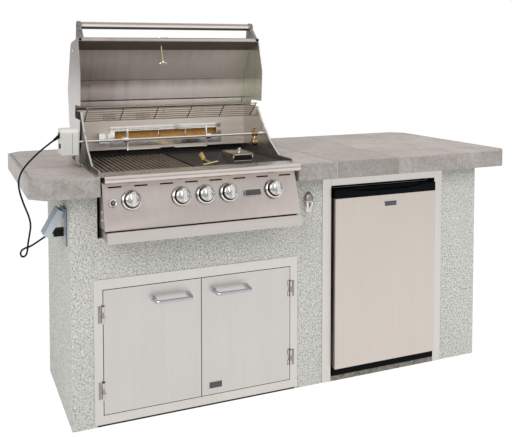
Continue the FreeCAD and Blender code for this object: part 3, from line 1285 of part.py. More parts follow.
def spit_fork(x, way):
    """Hub, cross bar and two pointed tines that reach along the spit; way is 1 to the right."""
    y, z, half = SPIT_Y, SPIT_HEIGHT, FORK_BAR_HALF
    hub_x = between(x - way * FORK_HUB_LENGTH, x)
    hub = cross_rod(*hub_x, y, z, FORK_HUB_RADIUS)
    bar_x = between(x, x - way * 2 * half)
    bar = block(*bar_x, y - half, y + half, z - FORK_REACH, z + FORK_REACH)
    pieces = [hub, bar]
    tip_length, tip_radius = FORK_TIP
    tine_end = x + way * FORK_TINE_LENGTH
    for sign in (-1, 1):
        tine_z = z + sign * (FORK_REACH - half)
        shoulder = V(tine_end, y, tine_z)
        pieces.append(cross_rod(x - way * half, tine_end, y, tine_z, FORK_TINE_RADIUS))
        pieces.append(cone(shoulder, shoulder + V(way * tip_length, 0, 0), FORK_TINE_RADIUS, tip_radius))
    return join(pieces).cut(cross_rod(*hub_x, y, z, SPIT_RADIUS))


def smoker():
    """Small open box on the griddle, and its loose lid with a knob."""
    x0, x1 = GRILL_CENTRE + SMOKER_X[0], GRILL_CENTRE + SMOKER_X[1]
    y0, y1 = SMOKER_Y
    z0, z1 = GRIDDLE_TOP, GRIDDLE_TOP + SMOKER_HEIGHT
    wall = SMOKER_SHEET
    room = block(x0 + wall, x1 - wall, y0 + wall, y1 - wall, z0 + wall, z1)
    keep("smoker_box", block(x0, x1, y0, y1, z0, z1).cut(room))
    lid_low = z1 + SEAT_GAP
    lid_top = lid_low + LID_THICKNESS
    over = LID_OVERHANG
    plate = block(x0 - over, x1 + over, y0 - over, y1 + over, lid_low, lid_top)
    knob_at = ((x0 + x1) / 2, y0 + (y1 - y0) / 3)
    knob_top = lid_top + LID_KNOB_HEIGHT
    post = upright_rod(*knob_at, lid_top, knob_top, LID_KNOB_RADIUS / 2)
    cap = upright_rod(*knob_at, lid_top + LID_KNOB_HEIGHT / 2, knob_top, LID_KNOB_RADIUS)
    keep("smoker_lid", join([plate, post, cap]))


def outlet():
    """Box in the left wall with its receptacle, the cover plate and the half-open lid."""
    face = BASE_LEFT
    centre_z = WALL_HEIGHT - OUTLET_BELOW_RIM
    y0, y1 = OUTLET_Y - BOX_WIDTH / 2, OUTLET_Y + BOX_WIDTH / 2
    z0, z1 = centre_z - BOX_HEIGHT / 2, centre_z + BOX_HEIGHT / 2
    back = face + BOX_DEPTH - BOX_WALL
    room = block(face, back, y0 + BOX_WALL, y1 - BOX_WALL, z0 + BOX_WALL, z1 - BOX_WALL)
    box = block(face, face + BOX_DEPTH, y0, y1, z0, z1).cut(room)
    front = face - PLATE_THICKNESS - RECEPTACLE_PROUD

    def centred(x0, x1, width, height, y=OUTLET_Y, z=centre_z):
        """Block between two X places, centred on a point of the wall."""
        return block(x0, x1, y - width / 2, y + width / 2, z - height / 2, z + height / 2)

    slots = []
    slot_end = front + BLADE_LENGTH + BLADE_END_GAP
    for z in (centre_z - RECEPTACLE_SPACING / 2, centre_z + RECEPTACLE_SPACING / 2):
        for y in (OUTLET_Y - SLOT_GAP / 2, OUTLET_Y + SLOT_GAP / 2):
            slots.append(centred(front, slot_end, SLOT_WIDTH, SLOT_HEIGHT, y, z))
    body = centred(front, back, RECEPTACLE_WIDTH, RECEPTACLE_HEIGHT)
    keep("outlet_box", [box, body.cut(slots)])

    plate_front = face - PLATE_THICKNESS
    fit = SEAT_GAP * 2
    window = centred(plate_front, face, RECEPTACLE_WIDTH + fit, RECEPTACLE_HEIGHT + fit)
    plate = centred(plate_front, face, PLATE_WIDTH, PLATE_HEIGHT).cut(window)
    axis_x, axis_z = face - LID_HINGE_OUT, centre_z + LID_HINGE_UP
    half = LID_WIDTH / 2
    ear_start = LID_WIDTH / 3

    def hinge_rod(y0, y1, radius):
        """Round bar along the lid's hinge line."""
        return rod(V(axis_x, OUTLET_Y + y0, axis_z), V(axis_x, OUTLET_Y + y1, axis_z), radius)

    ears = []
    ear_low = centre_z + PLATE_HEIGHT / 2 - EAR_LAP
    for side in (-1, 1):
        ears.append(hinge_rod(*between(side * ear_start, side * half), LID_HINGE_RADIUS))
        ear_y = between(OUTLET_Y + side * ear_start, OUTLET_Y + side * half)
        ears.append(block(axis_x, face, *ear_y, ear_low, axis_z))
    keep("outlet_plate", join([plate, hinge_rod(-half, half, LID_PIN_RADIUS)] + ears))

    top, low = axis_z - LID_HINGE_RADIUS - LID_SWING_ROOM, axis_z - LID_LENGTH
    rim = plate_front - SEAT_GAP
    cover_front, wall = rim - LID_DEPTH, LID_WALL
    inside_y = (OUTLET_Y - half + wall, OUTLET_Y + half - wall)
    cord_y = (OUTLET_Y - CORD_SLOT / 2, OUTLET_Y + CORD_SLOT / 2)
    cover = block(cover_front, rim, OUTLET_Y - half, OUTLET_Y + half, low, top).cut([
        block(cover_front + wall, rim, *inside_y, low + wall, top - wall),
        block(cover_front + wall, rim, *cord_y, low, low + wall),
    ])
    inner = ear_start - SEAT_GAP
    web_x = (axis_x - LID_HINGE_RADIUS, axis_x + LID_WEB_END)
    web = block(*web_x, OUTLET_Y - inner, OUTLET_Y + inner, top - wall, axis_z)
    bore = hinge_rod(-half, half, LID_PIN_RADIUS + RUNNING_FIT)
    lid = join([cover, hinge_rod(-inner, inner, LID_HINGE_RADIUS), web]).cut(bore)
    lid.rotate(V(axis_x, OUTLET_Y, axis_z), V(0, 1, 0), LID_OPEN_ANGLE)
    keep("outlet_lid", lid)


def cord():
    """Cord of straight runs joined by arcs, with its strain relief and its plug."""
    points = [V(MOTOR_LEFT + x, y, up(z)) for x, y, z in CORD_FROM_MOTOR]
    points += [V(BASE_LEFT + x, y, up(z)) for x, y, z in CORD_FROM_WALL]
    edges = []
    start = points[0]
    for before, corner, after in zip(points, points[1:], points[2:]):
        run_in, run_out = corner - before, after - corner
        turn = run_in.getAngle(run_out)
        reach = CORD_ARC_SHARE * min(run_in.Length, run_out.Length)
        radius = reach / tan(turn / 2)
        run_in.normalize()
        run_out.normalize()
        enter, leave = corner - run_in * reach, corner + run_out * reach
        inward = (run_out - run_in).normalize()
        middle = corner + inward * (radius / cos(turn / 2) - radius)
        edges += [Part.makeLine(start, enter), Part.Arc(enter, middle, leave).toShape()]
        start = leave
    edges.append(Part.makeLine(start, points[-1]))
    path = Part.Wire(edges)
    section = Part.Wire(Part.makeCircle(CORD_DIAMETER / 2, points[0], points[1] - points[0]))
    keep("power_cord", path.makePipeShell([section], True, False))
    print("cord length", round(path.Length, 1))

    first = (points[0] - points[1]).normalize()
    relief = cone(points[0], points[0] + first * RELIEF_LENGTH, *RELIEF_RADII)
    keep("strain_relief", relief.cut(PIECES["rotisserie_motor"]))

    last = (points[-1] - points[-2]).normalize()
    tail_radius = CORD_DIAMETER / 2 + PLUG_TAIL_LAP
    tail = cone(points[-1], points[-1] + last * PLUG_TAIL, tail_radius, PLUG_TAIL_RADIUS)
    front = BASE_LEFT - PLATE_THICKNESS - RECEPTACLE_PROUD - SEAT_GAP
    z = WALL_HEIGHT - OUTLET_BELOW_RIM - RECEPTACLE_SPACING / 2
    half = PLUG_BODY / 2
    pieces = [block(front - PLUG_LENGTH, front, OUTLET_Y - half, OUTLET_Y + half, z - half, z + half), tail]
    thick, tall = BLADE_SIZE[0] / 2, BLADE_SIZE[1] / 2
    for y in (OUTLET_Y - SLOT_GAP / 2, OUTLET_Y + SLOT_GAP / 2):
        pieces.append(block(front, front + BLADE_LENGTH, y - thick, y + thick, z - tall, z + tall))
    keep("power_plug", join(pieces))


def bottle_opener():
    """Wall plate with an arched lip that catches a cap."""
    x0 = BASE_LEFT + OPENER_FROM_LEFT - OPENER_WIDTH / 2
    x1 = x0 + OPENER_WIDTH
    z0, z1 = OPENER_SPAN
    plate = block(x0, x1, -OPENER_PLATE, 0, z0, z1)
    lip_x = (x0 + OPENER_LIP_INSET, x1 - OPENER_LIP_INSET)
    lip_z = z1 - OPENER_LIP_DROP
    lip = block(*lip_x, -OPENER_REACH, -OPENER_PLATE, lip_z, lip_z + OPENER_LIP)
    hook = block(*lip_x, -OPENER_REACH, OPENER_LIP - OPENER_REACH, lip_z - OPENER_HOOK, lip_z)
    keep("bottle_opener", join([plate, lip, hook]))


steel_frame()
walls()
counter()
door_frame()
storage_doors()
refrigerator()
firebox()
firebox_cheeks()
rear_panel()
front_sill()
control_panel()
knobs()
gas_train()
tamers_and_grates()
grate_lifter()
drip_tray()
hood()
warming_rack()
rotisserie()
smoker()
outlet()
cord()
bottle_opener()

os.makedirs("parts", exist_ok=True)
for name, shape in PIECES.items():
    placed = shape.copy()
    placed.translate(V(0, -ORIGIN_Y, 0))
    placed.exportStep(f"parts/{name}.step")
print(len(PIECES), "nodes")
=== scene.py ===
"""Looks of an outdoor kitchen island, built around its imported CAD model.

The island is a stucco base with a tiled counter. It carries a gas grill with an open hood and a
rotisserie, a pair of steel storage doors, a refrigerator, a weatherproof outlet and a bottle
opener. Every length is in metres, in the CAD model's own frame: X to the right, Y to the back,
Z up from the floor. Each sub-assembly is a class, and so is each finish.
"""

import json
import logging
import math
from dataclasses import dataclass, field
from enum import Enum
from typing import Callable, Sequence

import bmesh
import bpy
from mathutils import Matrix, Vector

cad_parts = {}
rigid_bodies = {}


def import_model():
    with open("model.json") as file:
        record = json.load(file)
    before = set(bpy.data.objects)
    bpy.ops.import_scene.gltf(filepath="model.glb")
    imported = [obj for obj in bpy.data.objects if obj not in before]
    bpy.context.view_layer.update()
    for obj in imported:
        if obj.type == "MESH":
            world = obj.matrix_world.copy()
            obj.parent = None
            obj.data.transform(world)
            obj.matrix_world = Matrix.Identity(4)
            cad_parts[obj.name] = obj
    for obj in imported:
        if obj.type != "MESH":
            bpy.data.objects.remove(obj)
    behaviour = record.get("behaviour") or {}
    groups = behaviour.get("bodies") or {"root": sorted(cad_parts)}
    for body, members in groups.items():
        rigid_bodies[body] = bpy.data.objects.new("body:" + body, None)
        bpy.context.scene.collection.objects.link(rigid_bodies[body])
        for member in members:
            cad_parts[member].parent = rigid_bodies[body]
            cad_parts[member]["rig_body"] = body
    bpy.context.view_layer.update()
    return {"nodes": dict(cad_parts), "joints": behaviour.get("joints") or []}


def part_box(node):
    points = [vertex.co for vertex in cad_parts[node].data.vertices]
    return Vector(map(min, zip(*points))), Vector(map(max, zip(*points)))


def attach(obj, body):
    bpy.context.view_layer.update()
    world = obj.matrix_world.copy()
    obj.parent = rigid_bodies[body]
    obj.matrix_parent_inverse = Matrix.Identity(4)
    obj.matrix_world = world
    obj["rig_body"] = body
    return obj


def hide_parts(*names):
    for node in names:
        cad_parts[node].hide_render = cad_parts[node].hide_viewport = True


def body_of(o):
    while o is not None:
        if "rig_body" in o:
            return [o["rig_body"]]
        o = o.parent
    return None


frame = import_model()

MM = 0.001
ISLAND = "island"
X_AXIS = Vector((1.0, 0.0, 0.0))
Y_AXIS = Vector((0.0, 1.0, 0.0))
Z_AXIS = Vector((0.0, 0.0, 1.0))
HERE = Matrix.Identity(4)
JOINTS = {joint["name"]: joint for joint in frame["joints"]}
WELD_DISTANCE = 2e-6
SMOOTH_ANGLE = math.radians(38.0)
BEVEL_ANGLE = math.radians(32.0)
FLAT_ANGLE = math.radians(0.8)
FOLD = 0.0005
MOULD = 0.0012
LAP = 0.001

Triple = tuple[float, float, float]
Colour = Triple
Pair = tuple[float, float]
Outline = Sequence[Sequence[float]]
FaceTest = Callable[[Vector, Vector], bool]
Socket = bpy.types.NodeSocket

log = logging.getLogger("outdoor_kitchen")


class Axis(Enum):
    """Direction in which a brushed grain runs."""

    X = 0
    Y = 1
    Z = 2


class Side(Enum):
    """Side of the island as seen from its front, with its direction along X."""

    LEFT = -1
    RIGHT = 1

    @property
    def word(self) -> str:
        """The side's name in the names of pieces."""
        return self.name.lower()

    @property
    def out(self) -> Vector:
        """Direction out of this side."""
        return X_AXIS * self.value


def tone(red: float, green: float, blue: float) -> tuple[float, float, float, float]:
    """Turn a screen colour of 0 to 255 into the linear colour that a shader takes.

    Args:
        red: Red share of the screen colour.
        green: Green share.
        blue: Blue share.

    Returns:
        The linear colour with full opacity.
    """
    linear = []
    for part in (red, green, blue):
        share = part / 255.0
        linear.append(share / 12.92 if share <= 0.04045 else ((share + 0.055) / 1.055) ** 2.4)
    return (*linear, 1.0)


def _operator(operation: str, reflected: bool = False) -> Callable[["Value", object], "Value"]:
    """Make an operator that adds one Math node.

    Args:
        operation: Blender's name of the operation.
        reflected: Whether the other value comes first.

    Returns:
        The operator's method.
    """
    def apply(value: "Value", other: object) -> "Value":
        """Add the node for this value and another."""
        first, second = (other, value) if reflected else (value, other)
        return value.sheet.math(operation, first, second)

    return apply


class Value:
    """A number that varies over a surface. Python's operators on it add Math nodes."""

    def __init__(self, sheet: "NodeSheet", socket: Socket) -> None:
        """Wrap an output socket of a node sheet."""
        self.sheet = sheet
        self.socket = socket

    __add__, __radd__ = _operator("ADD"), _operator("ADD", True)
    __sub__, __rsub__ = _operator("SUBTRACT"), _operator("SUBTRACT", True)
    __mul__, __rmul__ = _operator("MULTIPLY"), _operator("MULTIPLY", True)
    __truediv__, __rtruediv__ = _operator("DIVIDE"), _operator("DIVIDE", True)


class NodeSheet:
    """A node tree with one method that adds any node."""

    def __init__(self, tree: bpy.types.NodeTree) -> None:
        """Hold the tree to which nodes are added."""
        self.tree = tree

    def node(
        self, kind: str, settings: dict | None = None, inputs: dict | None = None,
    ) -> bpy.types.Node:
        """Add a node.

        Args:
            kind: Blender's name of the node's type.
            settings: The node's own settings, a ramp's stops among them, which are set first.
            inputs: Values or links, by the socket's name or number.

        Returns:
            The new node.
        """
        node = self.tree.nodes.new(kind)
        for key, value in (settings or {}).items():
            if key == "stops":
                self._set_stops(node, value)
            else:
                setattr(node, key, value)
        for key, value in (inputs or {}).items():
            self.feed(node.inputs[key], value)
        return node

    @staticmethod
    def _set_stops(node: bpy.types.Node, stops: Sequence[tuple[float, Sequence[float]]]) -> None:
        """Give a colour ramp its stops.

        Args:
            node: The ramp's node.
            stops: A place and a colour for each stop.
        """
        elements = node.color_ramp.elements
        while len(elements) < len(stops):
            elements.new(1.0)
        for element, (place, colour) in zip(elements, stops):
            element.position = place
            element.color = colour

    def feed(self, socket: Socket, value: object) -> None:
        """Link a socket to a value, or set it to a plain one.

        Args:
            socket: The input socket.
            value: A wrapped value, an output socket, or a plain number, colour or vector.
        """
        if isinstance(value, Value):
            value = value.socket
        if isinstance(value, bpy.types.NodeSocket):
            self.tree.links.new(value, socket)
        else:
            socket.default_value = value

    def math(self, operation: str, first: object, second: object = 0.0) -> Value:
        """Add a Math node and return its result."""
        node = self.node("ShaderNodeMath", {"operation": operation}, {0: first, 1: second})
        return Value(self, node.outputs[0])

    def rays(self, *kinds: str) -> Value:
        """Tell the rays of some kinds from all others.

        Args:
            kinds: Outputs of the Light Path node.

        Returns:
            One for a ray of any of these kinds, and zero for the rest.
        """
        outputs = self.node("ShaderNodeLightPath").outputs
        seen = Value(self, outputs[kinds[0]])
        for kind in kinds[1:]:
            seen = self.math("MAXIMUM", seen, outputs[kind])
        return seen


class Shader(NodeSheet):
    """A material's nodes, around one Principled surface."""

    def __init__(self, name: str) -> None:
        """Make an empty material with a Principled surface.

        Args:
            name: Name of the material.
        """
        self.material = bpy.data.materials.new(name)
        self.material.use_nodes = True
        super().__init__(self.material.node_tree)
        self.tree.nodes.clear()
        self.output = self.node("ShaderNodeOutputMaterial")
        self.surface = self.node("ShaderNodeBsdfPrincipled")
        self.tree.links.new(self.surface.outputs[0], self.output.inputs["Surface"])
        self.coordinates = self.node("ShaderNodeTexCoord").outputs

    @property
    def place(self) -> Socket:
        """Place on the object, which is the place in the frame."""
        return self.coordinates["Object"]

    @property
    def facing_up(self) -> Value:
        """How far a face looks up, from minus one to one."""
        return self.split(self.coordinates["Normal"])[2]

    def dress(self, **inputs: object) -> None:
        """Set the surface's sockets, with spaces in their names written as underscores."""
        for key, value in inputs.items():
            self.feed(self.surface.inputs[key.replace("_", " ")], value)

    def stretched(
        self, scale: Sequence[float], turn: Sequence[float] = (0.0, 0.0, 0.0), place: Socket | None = None,
    ) -> Socket:
        """Scale and turn a place for a pattern with a direction.

        Args:
            scale: Scale along each axis.
            turn: Turn about each axis, in radians.
            place: Vector to read, or None for the place on the object.

        Returns:
            The changed place.
        """
        inputs = {"Vector": place or self.place, "Scale": scale, "Rotation": turn}
        return self.node("ShaderNodeMapping", None, inputs).outputs[0]

    def noise(
        self, scale: float, detail: float = 3.0, roughness: float = 0.55, distortion: float = 0.0,
        place: Socket | None = None,
    ) -> Value:
        """Add a noise texture.

        Args:
            scale: Repeats per metre.
            detail: Finer layers on top of the first.
            roughness: Weight of the finer layers.
            distortion: How much the pattern is bent.
            place: Vector to read, or None for the place on the object.

        Returns:
            The pattern, from zero to one.
        """
        inputs = {
            "Vector": place or self.place, "Scale": scale, "Detail": detail, "Roughness": roughness,
            "Distortion": distortion,
        }
        return Value(self, self.node("ShaderNodeTexNoise", None, inputs).outputs[0])

    def grain(self, scale: Sequence[float], detail: float, roughness: float = 0.55) -> Value:
        """Add a noise texture with its own scale along each axis."""
        return self.noise(1.0, detail, roughness, place=self.stretched(scale))

    def mix(self, share: object, first: object, second: object) -> Socket:
        """Mix two colours by a share of the second."""
        settings = {"data_type": "RGBA", "blend_type": "MIX", "clamp_factor": True}
        return self.node("ShaderNodeMix", settings, {0: share, 6: first, 7: second}).outputs[2]

    def vector(self, operation: str, first: object, second: object = (0.0, 0.0, 0.0)) -> Socket:
        """Add a Vector Math node and return its vector."""
        node = self.node("ShaderNodeVectorMath", {"operation": operation}, {0: first, 1: second})
        return node.outputs[0]

    def ramp(self, share: Value, stops: Sequence[tuple[float, Sequence[float]]]) -> Socket:
        """Turn a share into a colour through a ramp's stops."""
        return self.node("ShaderNodeValToRGB", {"stops": stops}, {"Fac": share}).outputs[0]

    def between(self, value: Value, low: float, high: float) -> Value:
        """Rise smoothly from zero at one bound to one at the other."""
        settings = {"interpolation_type": "SMOOTHSTEP", "clamp": True}
        return Value(self, self.node("ShaderNodeMapRange", settings, {0: value, 1: low, 2: high}).outputs[0])

    def split(self, vector: Socket) -> list[Value]:
        """Split a vector into its three parts."""
        return [Value(self, part) for part in self.node("ShaderNodeSeparateXYZ", None, {0: vector}).outputs]

    def bump(self, height: Value, depth: float, strength: float = 1.0) -> Socket:
        """Add a Bump node of a depth in metres."""
        inputs = {"Height": height, "Distance": depth, "Strength": strength}
        return self.node("ShaderNodeBump", None, inputs).outputs[0]


_FINISHES: dict[str, bpy.types.Material] = {}


@dataclass(frozen=True)
class Finish:
    """A surface finish: its name and its colour on a screen."""

    name: str
    colour: Colour

    def material(self) -> bpy.types.Material:
        """Make this finish's material the first time, and find it again after that.

        Returns:
            The material.
        """
        if self.name not in _FINISHES:
            shader = Shader(self.name)
            self.paint(shader)
            _FINISHES[self.name] = shader.material
        return _FINISHES[self.name]

    def shade(self, factor: float) -> tuple[float, float, float, float]:
        """Return the colour made lighter or darker by a factor."""
        return tone(*(min(255.0, part * factor) for part in self.colour))

    def paint(self, shader: Shader) -> None:
        """Add this finish's nodes to a material."""
        raise NotImplementedError


@dataclass(frozen=True)
class BrushedSteel(Finish):
    """Stainless sheet with a fine grain, faint clouds and wiped marks."""

    grain: Axis = Axis.X
    roughness: float = 0.34
    clouds: float = 0.10
    streaks: float = 0.10
    metallic: float = 1.0

    def paint(self, shader: Shader) -> None:
        """Add a grain along one axis to the colour, roughness and bump.

        Args:
            shader: Node sheet of the material.
        """
        fine_scale, broad_scale = [900.0] * 3, [70.0] * 3
        fine_scale[self.grain.value] = 12.0
        broad_scale[self.grain.value] = 1.5
        fine = shader.grain(fine_scale, 2.0)
        streak = shader.grain(broad_scale, 3.0)
        cloud = shader.noise(3.2, 4.0, 0.6)
        share = (cloud - 0.5) * (self.clouds * 8.0) + (streak - 0.5) * (self.streaks * 8.0) + 0.5
        shader.dress(
            Base_Color=shader.mix(share, self.shade(0.93), self.shade(1.06)),
            Metallic=self.metallic,
            Roughness=self.roughness + (fine - 0.5) * 0.10 + (cloud - 0.5) * 0.12,
            Normal=shader.bump(fine + streak * 0.5, 0.00004, 0.6),
        )


@dataclass(frozen=True)
class Chrome(Finish):
    """Bright plated metal with faint smudges."""

    roughness: float = 0.13
    smudge: float = 0.10

    def paint(self, shader: Shader) -> None:
        """Vary the gloss with smudges, and the colour a little.

        Args:
            shader: Node sheet of the material.
        """
        smudge = shader.noise(38.0, 4.0, 0.6)
        shader.dress(
            Base_Color=shader.mix(smudge, self.shade(0.95), self.shade(1.04)),
            Metallic=1.0,
            Roughness=self.roughness + (smudge - 0.5) * self.smudge,
            Normal=shader.bump(shader.noise(160.0, 2.0), 0.00002, 0.4),
        )


@dataclass(frozen=True)
class SootedSteel(Finish):
    """Steel inside the hood: soot runs and patches, plus painted shade along the bend, under the roof,
    towards the upper left and on faces that look down.
    """

    soot: Colour = (128.0, 116.0, 107.0)
    clear_level: float = 1.205
    bend_level: float = 1.256
    roof_level: float = 1.33
    lip_level: float = 1.42
    roughness: float = 0.42
    metallic: float = 0.72
    middle: float = -0.42
    lean: float = 0.45

    def paint(self, shader: Shader) -> None:
        """Darken the steel with painted shade upwards to the bend, under the roof, to the upper left and on
        down-facing faces, and with soot runs and patches.

        Args:
            shader: Node sheet of the material.
        """
        across, _, height = shader.split(shader.place)
        # Painted shade: the band below the bend, the roof band, the upper-left corner, the lean to the left
        # and the faces that look down; the runs and patches are soot.
        under = shader.between(shader.facing_up, -0.5, -0.85)
        run = shader.grain((42.0, 3.0, 1.6), 4.0, 0.6)
        patch = shader.noise(5.0, 5.0, 0.62, 0.4)
        fine = shader.grain((700.0, 700.0, 10.0), 2.0)
        bend = shader.between(height, self.clear_level, self.bend_level)
        bend = bend * shader.between(height, self.bend_level + 0.006, self.bend_level - 0.002)
        roof = shader.between(height, self.roof_level, self.lip_level)
        roof = roof * shader.between(height, self.lip_level + 0.008, self.lip_level + 0.002)
        corner = shader.between(across, self.middle - 0.02, self.middle - 0.36)
        corner = corner * shader.between(height, self.roof_level + 0.03, self.roof_level - 0.05)
        share = bend * 0.72 + roof * 0.4 + corner * 0.30
        share = share + (run - 0.5) * 0.7 + (patch - 0.5) * 0.5 + 0.02
        share = share + (self.middle - across) * self.lean + under * 1.2
        steel = shader.mix(run, self.shade(0.95), self.shade(1.05))
        shader.dress(
            Base_Color=shader.mix(share, steel, tone(*self.soot)),
            Metallic=self.metallic,
            Roughness=self.roughness + (patch - 0.5) * 0.2 + (fine - 0.5) * 0.1,
            Normal=shader.bump(fine + run, 0.00006, 0.6),
        )


@dataclass(frozen=True)
class TintedTube(Finish):
    """Polished tube with painted light: a brown reflection tone along its top and painted shade along its
    underside.
    """

    tint: Colour = (162.0, 143.0, 133.0)
    deep: Colour = (92.0, 74.0, 62.0)
    roughness: float = 0.16
    metallic: float = 0.5

    def paint(self, shader: Shader) -> None:
        """Leave a painted highlight along the front, between the top's painted reflection and the
        underside's painted shade.

        Args:
            shader: Node sheet of the material.
        """
        streak = shader.grain((2.0, 160.0, 160.0), 3.0, 0.5)
        # Faces that look up take the painted reflection tone, and faces that look down take the painted
        # shade.
        above = shader.between(shader.facing_up, 0.12, 0.40)
        below = shader.between(shader.facing_up, -0.10, -0.45)
        colour = shader.mix(above, self.shade(1.0), tone(*self.tint))
        shader.dress(
            Base_Color=shader.mix(below, colour, tone(*self.deep)),
            Metallic=self.metallic,
            Roughness=self.roughness + (streak - 0.5) * 0.08,
        )


@dataclass(frozen=True)
class Stucco(Finish):
    """Sprayed masonry coat with dark and pale grains."""

    speck: Colour = (122.0, 127.0, 117.0)

    def paint(self, shader: Shader) -> None:
        """Scatter grains of two tones over a rough coat.

        Args:
            shader: Node sheet of the material.
        """
        lump = shader.noise(120.0, 3.0, 0.65)
        broad = shader.noise(2.4, 4.0, 0.6)
        turned = shader.stretched((1.0, 1.0, 1.0), (0.7, 0.4, 0.2))
        dark = shader.between(shader.noise(150.0, 2.5, 0.6), 0.50, 0.62)
        fine_dark = shader.between(shader.noise(290.0, 2.0, 0.6, place=turned), 0.54, 0.66)
        pale = shader.between(shader.noise(170.0, 2.0, 0.6, place=turned), 0.52, 0.64)
        coat = shader.mix(lump * 0.5 + broad * 0.5, self.shade(0.97), self.shade(1.10))
        coat = shader.mix(pale * 0.65, coat, self.shade(1.28))
        coat = shader.mix(dark * 0.62, coat, tone(*self.speck))
        coat = shader.mix(fine_dark * 0.5, coat, tone(*self.speck))
        shader.dress(
            Base_Color=coat,
            Roughness=0.92,
            Normal=shader.bump(lump + pale * 0.7 - dark * 0.5, 0.0016, 0.8),
        )


@dataclass(frozen=True)
class Tile(Finish):
    """Glazed stone-look tile: each tile has its own tone, clouds and streaks."""

    origin: Triple
    dark: Colour
    pale: Colour
    roughness: float = 0.38
    pitch: float = 0.3035

    def paint(self, shader: Shader) -> None:
        """Shift the pattern at random for each tile, and cloud and streak it.

        Args:
            shader: Node sheet of the material.
        """
        moved = shader.vector("SUBTRACT", shader.place, self.origin)
        cell = shader.vector("FLOOR", shader.vector("DIVIDE", moved, (self.pitch, self.pitch, 8.0)))
        chance = shader.node("ShaderNodeTexWhiteNoise", {"noise_dimensions": "3D"}, {"Vector": cell})
        own_place = shader.vector("MULTIPLY_ADD", chance.outputs["Color"], (9.0, 9.0, 0.0))
        own_place = shader.vector("ADD", shader.place, own_place)
        lengthened = shader.stretched((9.0, 34.0, 34.0), place=own_place)
        cloud = shader.noise(7.0, 6.0, 0.62, 0.5, own_place)
        streak = shader.noise(1.0, 5.0, 0.62, 0.7, lengthened)
        fine = shader.noise(190.0, 3.0, 0.6)
        own = Value(shader, chance.outputs["Value"])
        vein = shader.noise(16.0, 4.0, 0.6, 1.4, own_place) - 0.5
        crack = 1.0 - shader.between(vein * vein, 0.0, 0.0007)
        mottle = shader.noise(70.0, 4.0, 0.65)
        share = cloud * 0.8 + streak * 0.35 + (own - 0.5) * 0.16
        share = share + (fine - 0.5) * 0.7 + (mottle - 0.5) * 0.7 - crack * 0.12 - 0.08
        stone = shader.ramp(share, (
            (0.18, tone(*self.dark)), (0.42, self.shade(0.93)), (0.62, self.shade(1.04)),
            (0.86, tone(*self.pale)),
        ))
        shader.dress(
            Base_Color=stone,
            Roughness=self.roughness + (streak - 0.5) * 0.25,
            Coat_Weight=0.10,
            Normal=shader.bump(cloud * 0.4 + mottle * 0.3 + fine * 0.2 - crack * 0.3, 0.0008, 0.6),
        )


@dataclass(frozen=True)
class Grainy(Finish):
    """Matt mineral or cast surface: grout, stone, board, cast iron and burner ceramic."""

    second: Colour = (120.0, 110.0, 100.0)
    scale: float = 180.0
    mottle: float = 12.0
    roughness: float = 0.85
    metallic: float = 0.0
    depth: float = 0.0006
    contrast: float = 1.0

    def paint(self, shader: Shader) -> None:
        """Mix two tones by fine grains and broad patches.

        Args:
            shader: Node sheet of the material.
        """
        grain = shader.noise(self.scale, 4.0, 0.7)
        patch = shader.noise(self.mottle, 5.0, 0.6, 0.3)
        share = (grain - 0.5) * (2.2 * self.contrast) + (patch - 0.5) * (1.6 * self.contrast) + 0.42
        shader.dress(
            Base_Color=shader.mix(share, self.shade(1.0), tone(*self.second)),
            Roughness=self.roughness + (patch - 0.5) * 0.2,
            Metallic=self.metallic,
            Normal=shader.bump(grain + patch * 0.5, self.depth, 0.8),
        )


@dataclass(frozen=True)
class Moulded(Finish):
    """Moulded plastic, rubber or lacquer with a fine leather-like grain."""

    roughness: float = 0.4
    grain: float = 700.0
    depth: float = 0.00008
    coat: float = 0.0
    wear: float = 0.06
    specular: float = 0.5

    def paint(self, shader: Shader) -> None:
        """Grain the surface, and vary its tone and gloss a little.

        Args:
            shader: Node sheet of the material.
        """
        fine = shader.noise(self.grain, 2.0, 0.5)
        handled = shader.noise(14.0, 4.0, 0.6)
        shader.dress(
            Base_Color=shader.mix(handled, self.shade(1.0 - self.wear), self.shade(1.0 + self.wear)),
            Roughness=self.roughness + (handled - 0.5) * 0.18,
            Coat_Weight=self.coat,
            Specular_IOR_Level=self.specular,
            Normal=shader.bump(fine, self.depth, 0.5),
        )


@dataclass(frozen=True)
class Glass(Finish):
    """Clear glass with a faint tint."""

    def paint(self, shader: Shader) -> None:
        """Let light through, with faint smears in the gloss.

        Args:
            shader: Node sheet of the material.
        """
        smear = shader.noise(20.0, 3.0, 0.6)
        shader.dress(
            Base_Color=self.shade(1.0), Transmission_Weight=1.0, IOR=1.45,
            Roughness=0.02 + smear * 0.05,
        )


STUCCO = Stucco("stucco_coat", (204, 203, 197))
DOOR_STEEL = BrushedSteel("door_steel", (205, 202, 197), Axis.Z, 0.36, 0.06, 0.03)
FRAME_STEEL = BrushedSteel("door_frame_steel", (210, 206, 201), Axis.Z, 0.32, 0.06, 0.03)
FRIDGE_STEEL = BrushedSteel("fridge_steel", (208, 199, 191), Axis.Z, 0.38, 0.06, 0.03)
PANEL_STEEL = BrushedSteel("panel_steel", (214, 203, 197), Axis.Z, 0.34, 0.12, 0.06)
TRAY_STEEL = BrushedSteel("tray_steel", (200, 194, 189), Axis.X, 0.34, 0.08, 0.05)
SILL_STEEL = BrushedSteel("sill_steel", (210, 201, 194), Axis.X, 0.26)
CHEEK_STEEL = BrushedSteel("cheek_steel", (206, 202, 194), Axis.Y, 0.32)
# Dark steel on the cheeks' outer faces: painted shade of the gap beside the hood.
SHADED_CHEEK_STEEL = BrushedSteel("cheek_outer_steel", (80, 75, 69), Axis.Y, 0.40)
HOOD_STEEL = BrushedSteel("hood_steel", (204, 196, 190), Axis.Z, 0.30)
SHELL_SIDE_STEEL = BrushedSteel("hood_side_steel", (196, 191, 187), Axis.Z, 0.30)
